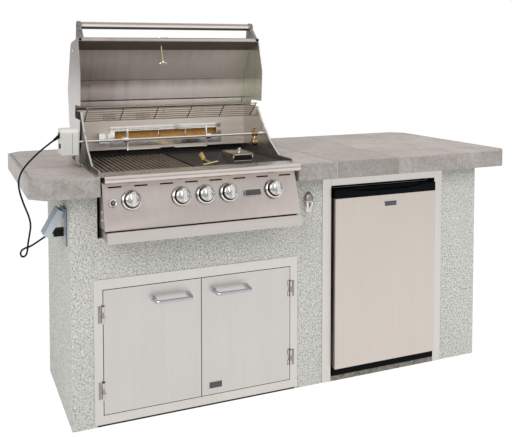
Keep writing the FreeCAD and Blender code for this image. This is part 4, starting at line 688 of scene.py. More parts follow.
# Greenish, strongly clouded steel: a painted reflection on the inner faces of the hood's side plates.
INNER_SIDE_REFLECTION_STEEL = BrushedSteel("hood_inner_side_steel", (214, 220, 202), Axis.Z, 0.26, 0.40, 0.25, 0.9)
REAR_STEEL = BrushedSteel("rear_panel_steel", (240, 228, 218), Axis.X, 0.44, 0.14, 0.10, 0.45)
LINER_STEEL = SootedSteel("hood_liner_steel", (222, 212, 206))
TUBE_STEEL = BrushedSteel("galvanised_tube", (150, 152, 152), Axis.Z, 0.45, 0.25)
HANDLE_STEEL = TintedTube("handle_steel", (240, 239, 240))
MOTTLED_METAL = Grainy(
    "mottled_cast_metal", (160, 155, 152), (84, 80, 78), 260.0, 45.0, 0.38, 0.9, 0.0004, 1.2,
)
CHROME = Chrome("chrome_plate", (234, 232, 228))
OPENER_METAL = Chrome("opener_metal", (176, 166, 160), 0.36)
DARK_CHROME = Chrome("dark_chrome", (96, 94, 92), 0.22)
KNOB_CHROME = Chrome("knob_chrome", (204, 202, 198), 0.14)
GRIP_CHROME = Chrome("grip_chrome", (250, 250, 250), 0.24)
AGED_BRASS = Chrome("aged_brass", (168, 140, 92), 0.24)
PALE_BRASS = Chrome("pale_brass", (222, 204, 158), 0.26)
# Chrome made darker and browner than the plain plate, for the warming rack and the smoker's lid.
RACK_CHROME = Chrome("smoked_chrome", (176, 162, 148), 0.20)
HANDLE_CHROME = Chrome("handle_chrome", (188, 190, 198), 0.14)
HINGE_STEEL = BrushedSteel("hinge_steel", (160, 150, 144), Axis.Z, 0.30, 0.06, 0.03)
SHADED_STEEL = BrushedSteel("shaded_edge_steel", (56, 52, 48), Axis.Z, 0.55, 0.06, 0.03)
# Dark steel: soot inside the firebox, and painted shade on its faces below the counter.
SOOT_AND_SHADE_STEEL = BrushedSteel("sooted_firebox_steel", (50, 44, 39), Axis.Z, 0.6, 0.20, 0.10, 0.6)
YELLOW = Moulded("yellow_lacquer", (226, 190, 84), 0.35, coat=0.3)
CAST_IRON = Grainy("cast_iron", (27, 27, 25), (16, 16, 15), 420.0, 26.0, 0.52, 0.15, 0.0003, 0.9)
GRATE_IRON = Grainy("grate_iron", (150, 137, 125), (94, 82, 72), 420.0, 22.0, 0.5, 0.6, 0.0003, 1.0)
RUST = Grainy("browned_steel", (84, 64, 54), (52, 42, 36), 300.0, 22.0, 0.6, 0.5, 0.0003, 1.0)
CERAMIC = Grainy("burner_ceramic_face", (242, 184, 106), (208, 150, 82), 150.0, 16.0, 0.8, 0.0, 0.0005, 0.9)
# Darker ceramic for the hole discs: painted shade standing for the holes.
CERAMIC_HOLE_SHADE = Grainy("burner_ceramic_hole", (152, 108, 58), (122, 84, 42), 300.0, 16.0, 0.9)
# Grout on level faces, darker than the same grout on the rim: painted shade in the sunken joints.
SHADED_GROUT = Grainy("grout_sand", (142, 128, 118), (112, 99, 90), 500.0, 20.0, 0.95)
RIM_GROUT = Grainy("rim_grout_sand", (204, 194, 182), (172, 160, 148), 500.0, 20.0, 0.95)
STONE = Grainy("speckled_stone", (150, 143, 134), (70, 70, 64), 230.0, 60.0, 0.5, 0.0, 0.0002, 1.6)
BOARD = Grainy("cement_board", (150, 146, 140), (120, 116, 110), 160.0, 8.0, 0.9)
BLACK_PLASTIC = Moulded("black_plastic_shell", (6, 8, 11), 0.36, specular=0.06)
WHITE_PLASTIC = Moulded("white_plastic_shell", (232, 232, 228), 0.42)
GREY_PLASTIC = Moulded("outlet_grey_plastic", (142, 156, 168), 0.42)
PALE_GREY_PLASTIC = Moulded("outlet_rim_plastic", (186, 198, 204), 0.42)
MOTOR_PAINT = Moulded("motor_paint", (212, 211, 207), 0.38, 420.0, 0.00012)
RUBBER = Moulded("black_rubber", (16, 16, 17), 0.7, 500.0, 0.00015, specular=0.2)
CORD_JACKET = Moulded("cord_jacket", (14, 14, 16), 0.5, 600.0, 0.00008, specular=0.2)
BADGE_FACE = Moulded("blank_badge_face", (62, 62, 66), 0.3, coat=0.4)
DIAL_FACE = Moulded("dial_face", (236, 235, 230), 0.5)
SHELF_GLASS = Glass("shelf_glass", (226, 238, 234))


def placed(origin: Vector, out: Vector, across: Vector = X_AXIS) -> Matrix:
    """Draw a frame at a point.

    Args:
        origin: The point.
        out: Direction of the local Z axis.
        across: Direction near which the local X axis lies.

    Returns:
        The frame as a 4 by 4 matrix.
    """
    z_way = out.normalized()
    y_way = z_way.cross(across).normalized()
    turn = Matrix((y_way.cross(z_way), y_way, z_way)).transposed()
    return Matrix.Translation(origin) @ turn.to_4x4()


def box_mesh(low: Sequence[float], high: Sequence[float]) -> bmesh.types.BMesh:
    """Draw a box.

    Args:
        low: Its lowest corner.
        high: Its highest corner.

    Returns:
        The box as an editable mesh.
    """
    part = bmesh.new()
    bmesh.ops.create_cube(part, size=1.0)
    size = [b - a for a, b in zip(low, high)]
    middle = [(a + b) / 2 for a, b in zip(low, high)]
    part.transform(Matrix.Translation(middle) @ Matrix.Diagonal((*size, 1.0)))
    return part


def round_off(part: bmesh.types.BMesh, edges: list, radius: float, segments: int) -> None:
    """Round some edges of a mesh.

    Args:
        part: The mesh.
        edges: The edges to round.
        radius: Their radius.
        segments: Steps in each.
    """
    bmesh.ops.bevel(
        part, geom=edges, offset=radius, segments=segments, affect="EDGES", profile=0.5, clamp_overlap=True,
    )


class Shape:
    """Faces collected into one mesh, with a finish for each."""

    thin_share = 0.45

    def __init__(self) -> None:
        """Start with no faces."""
        self.mesh = bmesh.new()
        self.finishes: list[Finish] = []

    def _take(self, part: bmesh.types.BMesh, finish: Finish, at: Matrix) -> None:
        """Move a part to its place and add it to the mesh.

        Args:
            part: The part's faces, which are freed.
            finish: Its finish.
            at: Frame in which the part was drawn.
        """
        if finish not in self.finishes:
            self.finishes.append(finish)
        number = self.finishes.index(finish)
        bmesh.ops.remove_doubles(part, verts=part.verts, dist=WELD_DISTANCE)
        bmesh.ops.recalc_face_normals(part, faces=part.faces)
        part.transform(at)
        for face in part.faces:
            face.material_index = number
        held = bpy.data.meshes.new("part")
        part.to_mesh(held)
        part.free()
        self.mesh.from_mesh(held)
        bpy.data.meshes.remove(held)

    def slab(
        self, low: Sequence[float], high: Sequence[float], finish: Finish, edge: float = FOLD,
        at: Matrix = HERE,
    ) -> None:
        """Add a box with rounded edges.

        Args:
            low: Its lowest corner.
            high: Its highest corner.
            finish: Its finish.
            edge: Radius of its edges, or zero.
            at: Frame in which the corners are given.
        """
        part = box_mesh(low, high)
        if edge > 0.0:
            thin = min(b - a for a, b in zip(low, high))
            round_off(part, part.edges[:], min(edge, thin * self.thin_share), 2)
        self._take(part, finish, at)

    def prism(
        self, outline: Outline, height: float, finish: Finish, edge: float, at: Matrix, segments: int = 2,
    ) -> None:
        """Add an outline of local X and Y points, raised along local Z.

        Args:
            outline: Points in order round the outline.
            height: Thickness of the piece.
            finish: Its finish.
            edge: Radius of the edges round both faces.
            at: Frame in which the outline is drawn.
            segments: Steps in each rounded edge.
        """
        part = bmesh.new()
        face = part.faces.new([part.verts.new((x, y, 0.0)) for x, y in outline])
        raised = bmesh.ops.extrude_face_region(part, geom=[face])
        top = [item for item in raised["geom"] if isinstance(item, bmesh.types.BMVert)]
        bmesh.ops.translate(part, verts=top, vec=(0.0, 0.0, height))
        level = [e for e in part.edges if abs(e.verts[0].co.z - e.verts[1].co.z) < 1e-9]
        round_off(part, level, edge, segments)
        self._take(part, finish, at)

    def lathe(self, profile: Outline, finish: Finish, at: Matrix, steps: int) -> None:
        """Turn a profile of (radius, height) points round local Z.

        Args:
            profile: Points from one end to the other; a radius of zero closes an end.
            finish: Its finish.
            at: Frame in which the profile is turned.
            steps: Facets round the piece.
        """
        part = bmesh.new()
        angles = [math.tau * step / steps for step in range(steps)]
        rings = []
        for radius, height in profile:
            ring = [(0.0, 0.0, height)]
            if radius > 0.0:
                ring = [(radius * math.cos(a), radius * math.sin(a), height) for a in angles]
            rings.append([part.verts.new(point) for point in ring])
        for below, above in zip(rings, rings[1:]):
            self._bridge(part, below, above, steps)
        self._take(part, finish, at)

    @staticmethod
    def _bridge(part: bmesh.types.BMesh, below: list, above: list, steps: int) -> None:
        """Fill the strip between two rings, either of which may be a single point.

        Args:
            part: Mesh that takes the faces.
            below: Corners of the first ring.
            above: Corners of the second ring.
            steps: Corners in a full ring.
        """
        for step in range(steps):
            after = (step + 1) % steps
            corners = [
                below[step % len(below)], below[after % len(below)],
                above[after % len(above)], above[step % len(above)],
            ]
            corners = list(dict.fromkeys(corners))
            if len(corners) > 2:
                part.faces.new(corners)

    def loft(self, sections: Sequence[Sequence[Vector]], finish: Finish) -> None:
        """Join closed sections with equal numbers of points, and close both ends.

        Args:
            sections: Points of each section, in the frame.
            finish: Its finish.
        """
        part = bmesh.new()
        rings = [[part.verts.new(point) for point in section] for section in sections]
        for below, above in zip(rings, rings[1:]):
            self._bridge(part, below, above, len(below))
        part.faces.new(rings[0])
        part.faces.new(rings[-1])
        self._take(part, finish, HERE)

    def tube(
        self, points: Sequence[Vector], radius: float | Sequence[float], finish: Finish, steps: int = 14,
        flatten: float = 1.0,
    ) -> None:
        """Sweep a round or oval section along points.

        Args:
            points: Centre line, in the frame.
            radius: One radius, or one for each point.
            finish: Its finish.
            steps: Facets round the section.
            flatten: Height of the section as a share of its width.
        """
        radii = [radius] * len(points) if isinstance(radius, float) else radius
        side = (points[1] - points[0]).orthogonal().normalized()
        angles = [math.tau * step / steps for step in range(steps)]
        sections = []
        for index, point in enumerate(points):
            way = (points[min(index + 1, len(points) - 1)] - points[max(index - 1, 0)]).normalized()
            side = (side - way * side.dot(way)).normalized()
            other = way.cross(side)
            spokes = [side * math.cos(a) + other * (math.sin(a) * flatten) for a in angles]
            sections.append([point + spoke * radii[index] for spoke in spokes])
        self.loft(sections, finish)

    def piece(
        self, name: str, body: str = ISLAND, stands_for: str | None = None, slot: str | None = None,
    ) -> bpy.types.Object:
        """Finish the mesh as a piece that moves with a body.

        Args:
            name: Name of the piece.
            body: CAD body that it moves with.
            stands_for: CAD node that it replaces.
            slot: Not used.

        Returns:
            The new object.
        """
        mesh = bpy.data.meshes.new(name)
        self.mesh.to_mesh(mesh)
        self.mesh.free()
        for finish in self.finishes:
            mesh.materials.append(finish.material())
        return settle(name, mesh, body, (stands_for,) if stands_for else ())


def shown(name: str, data: bpy.types.ID) -> bpy.types.Object:
    """Make an object and link it to the scene.

    Args:
        name: Name of the object.
        data: Its mesh, curve, lamp or camera.

    Returns:
        The object.
    """
    made = bpy.data.objects.new(name, data)
    bpy.context.scene.collection.objects.link(made)
    return made


def settle(
    name: str, mesh: bpy.types.Mesh, body: str, stands_for: Sequence[str] = (),
) -> bpy.types.Object:
    """Shade a finished mesh and make it a piece that moves with a body.

    Args:
        name: Name of the piece.
        mesh: Its mesh, already in place.
        body: CAD body that it moves with.
        stands_for: CAD nodes that it replaces.

    Returns:
        The new object.
    """
    mesh.shade_smooth()
    mesh.set_sharp_from_angle(angle=SMOOTH_ANGLE)
    made = shown(name, mesh)
    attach(made, body)
    if stands_for:
        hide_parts(*stands_for)
    log.info("piece %s on %s", name, body)
    return made


def merged_copy(node: str, keep: FaceTest | None = None) -> bmesh.types.BMesh:
    """Copy a CAD node's mesh, weld its triangles and merge its flat faces.

    Args:
        node: Name of the CAD node.
        keep: Test on the box of each loose solid, which keeps or drops it.

    Returns:
        The copy as an editable mesh.
    """
    copy = bmesh.new()
    copy.from_mesh(frame["nodes"][node].data)
    bmesh.ops.remove_doubles(copy, verts=copy.verts, dist=WELD_DISTANCE)
    if keep is not None:
        drop = [corner for group in loose_parts(copy) if not keep(*corners_of(group)) for corner in group]
        bmesh.ops.delete(copy, geom=drop, context="VERTS")
    bmesh.ops.dissolve_limit(
        copy, angle_limit=FLAT_ANGLE, verts=copy.verts, edges=copy.edges, delimit={"NORMAL"},
    )
    return copy


def loose_parts(mesh: bmesh.types.BMesh) -> list[list[bmesh.types.BMVert]]:
    """Split a mesh's corners into groups that hang together.

    Args:
        mesh: An editable mesh.

    Returns:
        The corners of each group.
    """
    groups, seen = [], set()
    for start in mesh.verts:
        if start in seen:
            continue
        seen.add(start)
        group, waiting = [], [start]
        while waiting:
            corner = waiting.pop()
            group.append(corner)
            fresh = [edge.other_vert(corner) for edge in corner.link_edges]
            fresh = [other for other in fresh if other not in seen]
            seen.update(fresh)
            waiting += fresh
        groups.append(group)
    return groups


def corners_of(group: Sequence[bmesh.types.BMVert]) -> tuple[Vector, Vector]:
    """Lowest and highest corner of a group of mesh corners."""
    low, high = ([pick(corner.co[i] for corner in group) for i in range(3)] for pick in (min, max))
    return Vector(low), Vector(high)


def loose_boxes(node: str) -> list[tuple[Vector, Vector]]:
    """Measure each loose solid of a CAD node.

    Args:
        node: Name of the CAD node.

    Returns:
        Lowest and highest corner of each.
    """
    copy = merged_copy(node)
    boxes = [corners_of(group) for group in loose_parts(copy)]
    copy.free()
    return boxes


def softened(
    node: str, finish: Finish, width: float = FOLD, segments: int = 1, second: Finish | None = None,
    test: FaceTest | None = None, keep: FaceTest | None = None,
) -> bpy.types.Object:
    """Stand a welded copy with rounded edges in a CAD node's place.

    Args:
        node: Name of the CAD node.
        finish: Finish of the copy.
        width: Radius of its edges.
        segments: Steps in each rounded edge.
        second: Another finish for some of the faces.
        test: Test on a face's normal and middle that gives it the second finish.
        keep: Test on the box of each loose solid, which keeps or drops it.

    Returns:
        The new piece.
    """
    copy = merged_copy(node, keep)
    mesh = bpy.data.meshes.new(f"{node}_face")
    copy.to_mesh(mesh)
    copy.free()
    for each in (finish, second) if second else (finish,):
        mesh.materials.append(each.material())
    for polygon in mesh.polygons:
        polygon.material_index = int(second is not None and test(polygon.normal, polygon.center))
    made = settle(f"{node}_face", mesh, body_of(frame["nodes"][node])[0], (node,))
    bevel = made.modifiers.new("rounded_edges", "BEVEL")
    bevel.width = width
    bevel.segments = segments
    bevel.limit_method = "ANGLE"
    bevel.angle_limit = BEVEL_ANGLE
    bevel.use_clamp_overlap = True
    bevel.harden_normals = True
    return made


def inside_box(node: str, margin: float) -> FaceTest:
    """Make a test for faces round an opening: edge-on to the front, and well inside a node's outline.

    Args:
        node: Name of the CAD node.
        margin: How far inside the node's box the opening starts.

    Returns:
        The test on a face's normal and middle.
    """
    low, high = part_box(node)

    def test(normal: Vector, middle: Vector) -> bool:
        """Tell whether a face lies round the opening."""
        across = low.x + margin < middle.x < high.x - margin
        return abs(normal.y) < 0.5 and across and low.z + margin < middle.z < high.z - margin

    return test


def outwards(node: str, normal: Vector, middle: Vector) -> float:
    """Tell how far a face of a left-and-right pair looks away from between the two.

    Args:
        node: Name of the CAD node.
        normal: The face's normal.
        middle: Its middle.

    Returns:
        A positive number for a face that looks away, a negative one for a face that looks inwards.
    """
    low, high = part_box(node)
    return normal.x * (middle.x - (low.x + high.x) / 2)


def dress_node(node: str, finish: Finish) -> None:
    """Give a CAD node that stays as it is a finish."""
    for slot in frame["nodes"][node].material_slots:
        slot.material = finish.material()


class Growth(NodeSheet):
    """A Geometry Nodes tree that grows a repeated shape, and the way to run it."""

    def __init__(self, name: str, *sizes: str) -> None:
        """Make a tree with named inputs for its sizes and its finish.

        Args:
            name: Name of the tree.
            sizes: Names of its sizes.
        """
        super().__init__(bpy.data.node_groups.new(name, "GeometryNodeTree"))
        interface = self.tree.interface
        interface.new_socket("Geometry", in_out="INPUT", socket_type="NodeSocketGeometry")
        kinds = {**dict.fromkeys(sizes, "NodeSocketFloat"), "Finish": "NodeSocketMaterial"}
        self.identifiers = {
            key: interface.new_socket(key, in_out="INPUT", socket_type=kind).identifier
            for key, kind in kinds.items()
        }
        interface.new_socket("Geometry", in_out="OUTPUT", socket_type="NodeSocketGeometry")
        self.inputs = self.node("NodeGroupInput").outputs
        self.sizes = [Value(self, self.inputs[key]) for key in sizes]

    def row(self, x: object = 0.0, y: object = 0.0, z: object = 0.0) -> Socket:
        """Vector of three values."""
        return self.node("ShaderNodeCombineXYZ", None, {0: x, 1: y, 2: z}).outputs[0]

    def solid(self, kind: str, **inputs: object) -> Socket:
        """Add a mesh primitive.

        Args:
            kind: Blender's name of the primitive.
            inputs: Values of its sockets, named with underscores for spaces.

        Returns:
            The primitive's mesh.
        """
        settings = {} if kind == "Cube" else {"fill_type": "NGON"}
        named = {key.replace("_", " "): value for key, value in inputs.items()}
        return self.node(f"GeometryNodeMesh{kind}", settings, named).outputs[0]

    def repeat(self, shape: Socket, points: Socket | None = None) -> None:
        """End the tree with a shape on each point, as real geometry in its own finish.

        Args:
            shape: The repeated shape.
            points: Points to set it on, or None for the given ones, at which it turns to their facing.
        """
        inputs = {"Points": points or self.inputs["Geometry"], "Instance": shape}
        if points is None:
            settings = {"data_type": "FLOAT_VECTOR"}
            facing = self.node("GeometryNodeInputNamedAttribute", settings, {"Name": "facing"}).outputs[0]
            align = self.node("FunctionNodeAlignRotationToVector", {"axis": "Z"}, {"Vector": facing})
            inputs["Rotation"] = align.outputs[0]
        placed_shapes = self.node("GeometryNodeInstanceOnPoints", None, inputs).outputs[0]
        real = self.node("GeometryNodeRealizeInstances", None, {0: placed_shapes}).outputs[0]
        dressed = {"Geometry": real, "Material": self.inputs["Finish"]}
        done = self.node("GeometryNodeSetMaterial", None, dressed)
        self.tree.links.new(done.outputs[0], self.node("NodeGroupOutput").inputs[0])

    def grow(
        self, name: str, body: str, places: Sequence[Vector], facings: Sequence[Vector], finish: Finish,
        sizes: Sequence[float], at: Matrix = HERE,
    ) -> bpy.types.Object:
        """Run the tree once and keep its mesh as a piece.

        Args:
            name: Name of the piece.
            body: CAD body that it moves with.
            places: Points on which the shape repeats.
            facings: Direction of each repeat.
            finish: Finish of the repeats.
            sizes: Values of the named sizes, in their order.
            at: Frame in which the places are given.

        Returns:
            The new piece.
        """
        seeds = bpy.data.meshes.new(f"{name}_seeds")
        seeds.from_pydata([tuple(place) for place in places], [], [])
        facing = seeds.attributes.new("facing", "FLOAT_VECTOR", "POINT")
        for item, way in zip(facing.data, facings):
            item.vector = way
        holder = shown(f"{name}_holder", seeds)
        modifier = holder.modifiers.new("growth", "NODES")
        modifier.node_group = self.tree
        for identifier, value in zip(self.identifiers.values(), (*sizes, finish.material())):
            modifier[identifier] = value
        graph = bpy.context.evaluated_depsgraph_get()
        grown = bpy.data.meshes.new_from_object(holder.evaluated_get(graph), depsgraph=graph)
        holder.modifiers.remove(modifier)
        bpy.data.objects.remove(holder)
        grown.transform(at)
        return settle(name, grown, body)


def screw_tree() -> Growth:
    """Build the tree that sets a domed screw head on each point.

    Returns:
        The tree, which takes a head's radius and height.
    """
    tree = Growth("screw_heads", "Head radius", "Head height")
    radius, height = tree.sizes
    rim = tree.solid("Cone", Vertices=14, Radius_Top=radius * 0.94, Radius_Bottom=radius, Depth=height * 0.6)
    dome = tree.solid(
        "Cone", Vertices=14, Radius_Top=radius * 0.5, Radius_Bottom=radius * 0.94, Depth=height * 0.4,
    )
    lift = {"Geometry": dome, "Translation": tree.row(z=height * 0.6)}
    raised = tree.node("GeometryNodeTransform", None, lift).outputs[0]
    join = tree.node("GeometryNodeJoinGeometry")
    for part in (rim, raised):
        tree.tree.links.new(part, join.inputs[0])
    tree.repeat(join.outputs[0])
    return tree


def bar_tree() -> Growth:
    """Build the tree that sets a small block on each point.

    Returns:
        The tree, which takes a block's three sizes.
    """
    tree = Growth("repeated_blocks", "Size X", "Size Y", "Size Z")
    tree.repeat(tree.solid("Cube", Size=tree.row(*tree.sizes)))
    return tree


def hole_tree() -> Growth:
    """Build the tree that lays a grid of small discs, flat in local X and Y, which stand for holes as
    painted shade.

    Returns:
        The tree, which takes the field's width and height and the holes' pitch, radius and depth.
    """
    tree = Growth("perforations", "Width", "Height", "Pitch", "Hole radius", "Hole depth")
    width, height, pitch, radius, depth = tree.sizes
    grid = tree.node("GeometryNodeMeshGrid", None, {
        "Size X": width, "Size Y": height, "Vertices X": width / pitch, "Vertices Y": height / pitch,
    }).outputs[0]
    tree.repeat(tree.solid("Cylinder", Vertices=6, Radius=radius, Depth=depth), grid)
    return tree


@dataclass
class Assembly:
    """What every sub-assembly has: screw heads and blank plates."""

    screw_radius: float = 0.0042
    screw_height: float = 0.0022
    screw: Growth = field(default_factory=screw_tree)

    def fasten(
        self, name: str, body: str, places: Sequence[Vector], facing: Vector, finish: Finish = CHROME,
        scale: float = 1.0,
    ) -> None:
        """Set screw heads on a flat face.

        Args:
            name: Name of the piece.
            body: CAD body that it moves with.
            places: Points on the face.
            facing: Direction out of the face.
            finish: Finish of the heads.
            scale: Size of these heads against the usual ones.
        """
        sizes = (self.screw_radius * scale, self.screw_height * scale)
        self.screw.grow(name, body, places, [facing] * len(places), finish, sizes)

    def blank_plate(self, name: str, body: str, centre: Vector, out: Vector, size: Pair) -> None:
        """Lay a small plain plate with a bright rim, where the real object has a marking.

        Args:
            name: Name of the piece.
            body: CAD body that it moves with.
            centre: Middle of the plate on the surface that carries it.
            out: Direction out of that surface.
            size: Width and height.
        """
        at = placed(centre, out)
        x, y, rim, thick = size[0] / 2, size[1] / 2, 0.0012, 0.0018
        plate = Shape()
        plate.slab((-x, -y, 0.0), (x, y, thick), CHROME, 0.0006, at)
        low, high = (rim - x, rim - y, thick - 0.0004), (x - rim, y - rim, thick + 0.0003)
        plate.slab(low, high, BADGE_FACE, 0.0002, at)
        plate.piece(name, body)


@dataclass
class Studio:
    """Floor, world, lamps and the camera at the photograph's place."""

    eye: Triple = (-1.34535, -2.73902, 1.35667)
    yaw: float = -20.98
    pitch: float = -2.65
    roll: float = 0.23
    upright: float = 90.0
    focal_pixels: float = 683.55
    centre_pixel: Pair = (199.61, 88.55)
    image_pixels: Pair = (512.0, 438.0)
    sensor: float = 36.0
    floor_half: float = 40.0
    floor_level: float = -0.0005
    floor_white: float = 1.2
    floor_share: float = 0.72
    world_strength: float = 0.62
    wall_strength: float = 0.45
    wall_top: Pair = (0.10, 0.60)
    # Name, place, point it faces, side, power in watts, and whether it shows in polished metal.
    lamps: tuple[tuple, ...] = (
        ("key_lamp", (-4.5, -3.0, 4.2), (0.0, 0.0, 0.6), 3.4, 150.0, True),
        ("fill_lamp", (3.2, -3.2, 3.4), (0.7, 0.0, 0.7), 3.0, 66.0, False),
        ("top_lamp", (2.0, -0.4, 3.4), (1.0, -0.1, 0.9), 2.0, 22.0, False),
    )

    def camera(self) -> None:
        """Set the camera where the photograph was taken from."""
        data = bpy.data.cameras.new("photo_camera")
        width, height = self.image_pixels
        data.sensor_width = self.sensor
        data.lens = self.focal_pixels * self.sensor / width
        data.shift_x = (width / 2 - self.centre_pixel[0]) / width
        data.shift_y = -(height / 2 - self.centre_pixel[1]) / width
        place = Matrix.Translation(self.eye)
        for angle, axis in ((self.yaw, "Z"), (self.pitch, "X"), (self.roll, "Y"), (self.upright, "X")):
            place = place @ Matrix.Rotation(math.radians(angle), 4, axis)
        holder = shown("photo_camera", data)
        holder.matrix_world = place
        bpy.context.scene.camera = holder

    def floor(self) -> None:
        """Lay a white floor that keeps the island's shadow."""
        half, level = self.floor_half, self.floor_level
        mesh = bpy.data.meshes.new("floor")
        corners = ((-half, -half), (half, -half), (half, half), (-half, half))
        mesh.from_pydata([(x, y, level) for x, y in corners], [], [(0, 1, 2, 3)])
        shader = Shader("white_floor")
        shader.dress(Base_Color=(0.8, 0.8, 0.8, 1.0), Roughness=0.9, Specular_IOR_Level=0.1)
        seen = shader.rays("Is Camera Ray", "Is Glossy Ray", "Is Transmission Ray")
        white = {"Color": (1.0, 1.0, 1.0, 1.0), "Strength": self.floor_white}
        layers = {
            0: seen * self.floor_share, 1: shader.surface.outputs[0],
            2: shader.node("ShaderNodeEmission", None, white).outputs[0],
        }
        mixed = shader.node("ShaderNodeMixShader", None, layers)
        shader.feed(shader.output.inputs["Surface"], mixed.outputs[0])
        mesh.materials.append(shader.material)
        shown("floor", mesh)

    def world(self) -> None:
        """Light evenly from all round, with a white sky in view and dim walls in reflections."""
        world = bpy.data.worlds.new("studio")
        world.use_nodes = True
        sheet = NodeSheet(world.node_tree)
        sheet.tree.nodes.clear()
        seen = sheet.rays("Is Camera Ray", "Is Transmission Ray")
        glossy = sheet.rays("Is Glossy Ray") * (1.0 - seen)
        way = sheet.node("ShaderNodeTexCoord").outputs["Generated"]
        rise = sheet.node("ShaderNodeSeparateXYZ", None, {0: way}).outputs[2]
        inputs = {0: rise, 1: self.wall_top[0], 2: self.wall_top[1], 3: self.wall_strength, 4: 1.0}
        walls = Value(sheet, sheet.node("ShaderNodeMapRange", {"clamp": True}, inputs).outputs[0])
        strength = seen * (1.0 - self.world_strength) + glossy * (walls - self.world_strength)
        sky = {"Color": (1.0, 1.0, 1.0, 1.0), "Strength": strength + self.world_strength}
        light = sheet.node("ShaderNodeBackground", None, sky)
        sheet.tree.links.new(light.outputs[0], sheet.node("ShaderNodeOutputWorld").inputs["Surface"])
        bpy.context.scene.world = world

    @staticmethod
    def lamp(name: str, place: Triple, aim: Triple, size: float, power: float, mirrored: bool) -> None:
        """Hang a square soft lamp.

        Args:
            name: Name of the lamp.
            place: Where it hangs.
            aim: Point that it faces.
            size: Side of the square.
            power: Its power in watts.
            mirrored: Whether it shows in polished metal.
        """
        data = bpy.data.lights.new(name, "AREA")
        data.size = size
        data.energy = power
        holder = shown(name, data)
        holder.visible_glossy = mirrored
        turn = (Vector(aim) - Vector(place)).to_track_quat("-Z", "Y").to_matrix().to_4x4()
        holder.matrix_world = Matrix.Translation(place) @ turn

    def build(self) -> None:
        """Set up the whole studio."""
        bpy.context.scene.view_settings.view_transform = "Standard"
        self.camera()
        self.floor()
        self.world()
        for row in self.lamps:
            self.lamp(*row)


@dataclass
class PowerCord:
    """Rotisserie cord from the motor to the outlet, on one smooth line, with its plug."""

    diameter: float = 0.007
    length: float = 0.6826
    plug_edge: float = 0.0022
    relief_share: float = 0.62
    relief_thin: float = 0.0044
    relief_thick: float = 0.0078
    ribs: int = 6
    # Share of a rib's length, and how deep the relief is cut there.
    rib_outline: tuple[Pair, ...] = ((0.1, 0.0), (0.55, 0.0), (0.65, 0.0009), (0.95, 0.0009))
    route: tuple[Triple, ...] = (
        (-19.0, 228.0, 1037.0), (-66.0, 195.0, 1011.0), (-108.0, 150.0, 985.0), (-145.0, 112.0, 957.0),
        (-163.0, 97.0, 928.0), (-167.0, 94.0, 900.0), (-161.0, 95.0, 865.0), (-145.5, 98.0, 818.0),
        (-129.5, 101.0, 778.0), (-123.5, 104.0, 745.0), (-128.0, 108.0, 713.0), (-134.0, 112.0, 678.0),
        (-136.0, 111.0, 655.0), (-139.5, 109.0, 640.0), (-148.5, 106.5, 631.5), (-159.0, 104.0, 635.0),
        (-163.0, 101.5, 648.0), (-157.5, 99.0, 660.0), (-145.0, 97.0, 667.0), (-126.0, 96.0, 671.0),
        (-103.5, 97.0, 684.0), (-78.0, 99.5, 698.0), (-58.0, 102.0, 709.0),
    )

    def build(self) -> None:
        """Draw the cord as a smooth curve, and dress the pieces on it."""
        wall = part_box("front_wall")[0]
        points = [Vector((wall.x + x * MM, wall.y + y * MM, z * MM)) for x, y, z in self.route]
        curve = bpy.data.curves.new("cord", "CURVE")
        curve.dimensions = "3D"
        curve.bevel_depth = self.diameter / 2
        curve.bevel_resolution = 4
        curve.resolution_u = 8
        curve.use_fill_caps = True
        line = curve.splines.new("NURBS")
        line.points.add(len(points) - 1)
        for place, point in zip(line.points, points):
            place.co = (*point, 1.0)
        line.order_u = 3
        line.use_endpoint_u = True
        curve.materials.append(CORD_JACKET.material())
        cord = shown("cord", curve)
        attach(cord, ISLAND)
        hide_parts("power_cord")
        log.info("piece cord on %s", ISLAND)
        relief = self.relief(points)
        plug = softened("power_plug", CORD_JACKET, self.plug_edge, 3)

    def relief(self, points: Sequence[Vector]) -> bpy.types.Object:
        """Taper the strain relief from the motor down to the cord, with ribs.

        Args:
            points: The cord's route from the motor.

        Returns:
            The new piece.
        """
        low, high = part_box("strain_relief")
        thin, thick = self.relief_thin, self.relief_thick
        long = (high - low).length * self.relief_share
        step = long / self.ribs
        profile = [(self.diameter / 2 + 0.0003, -LAP), (thin, 0.0)]
        for rib in range(self.ribs):
            radius = thin + (thick - thin) * rib / self.ribs
            base = long * rib / self.ribs
            profile += [(radius - deep, base + step * share) for share, deep in self.rib_outline]
        profile += [(thick, long), (0.0, long)]
        shape = Shape()
        shape.lathe(profile, RUBBER, placed(points[0], points[0] - points[1]), 24)
        return shape.piece("ribbed_relief", ISLAND, "strain_relief", "rubber")


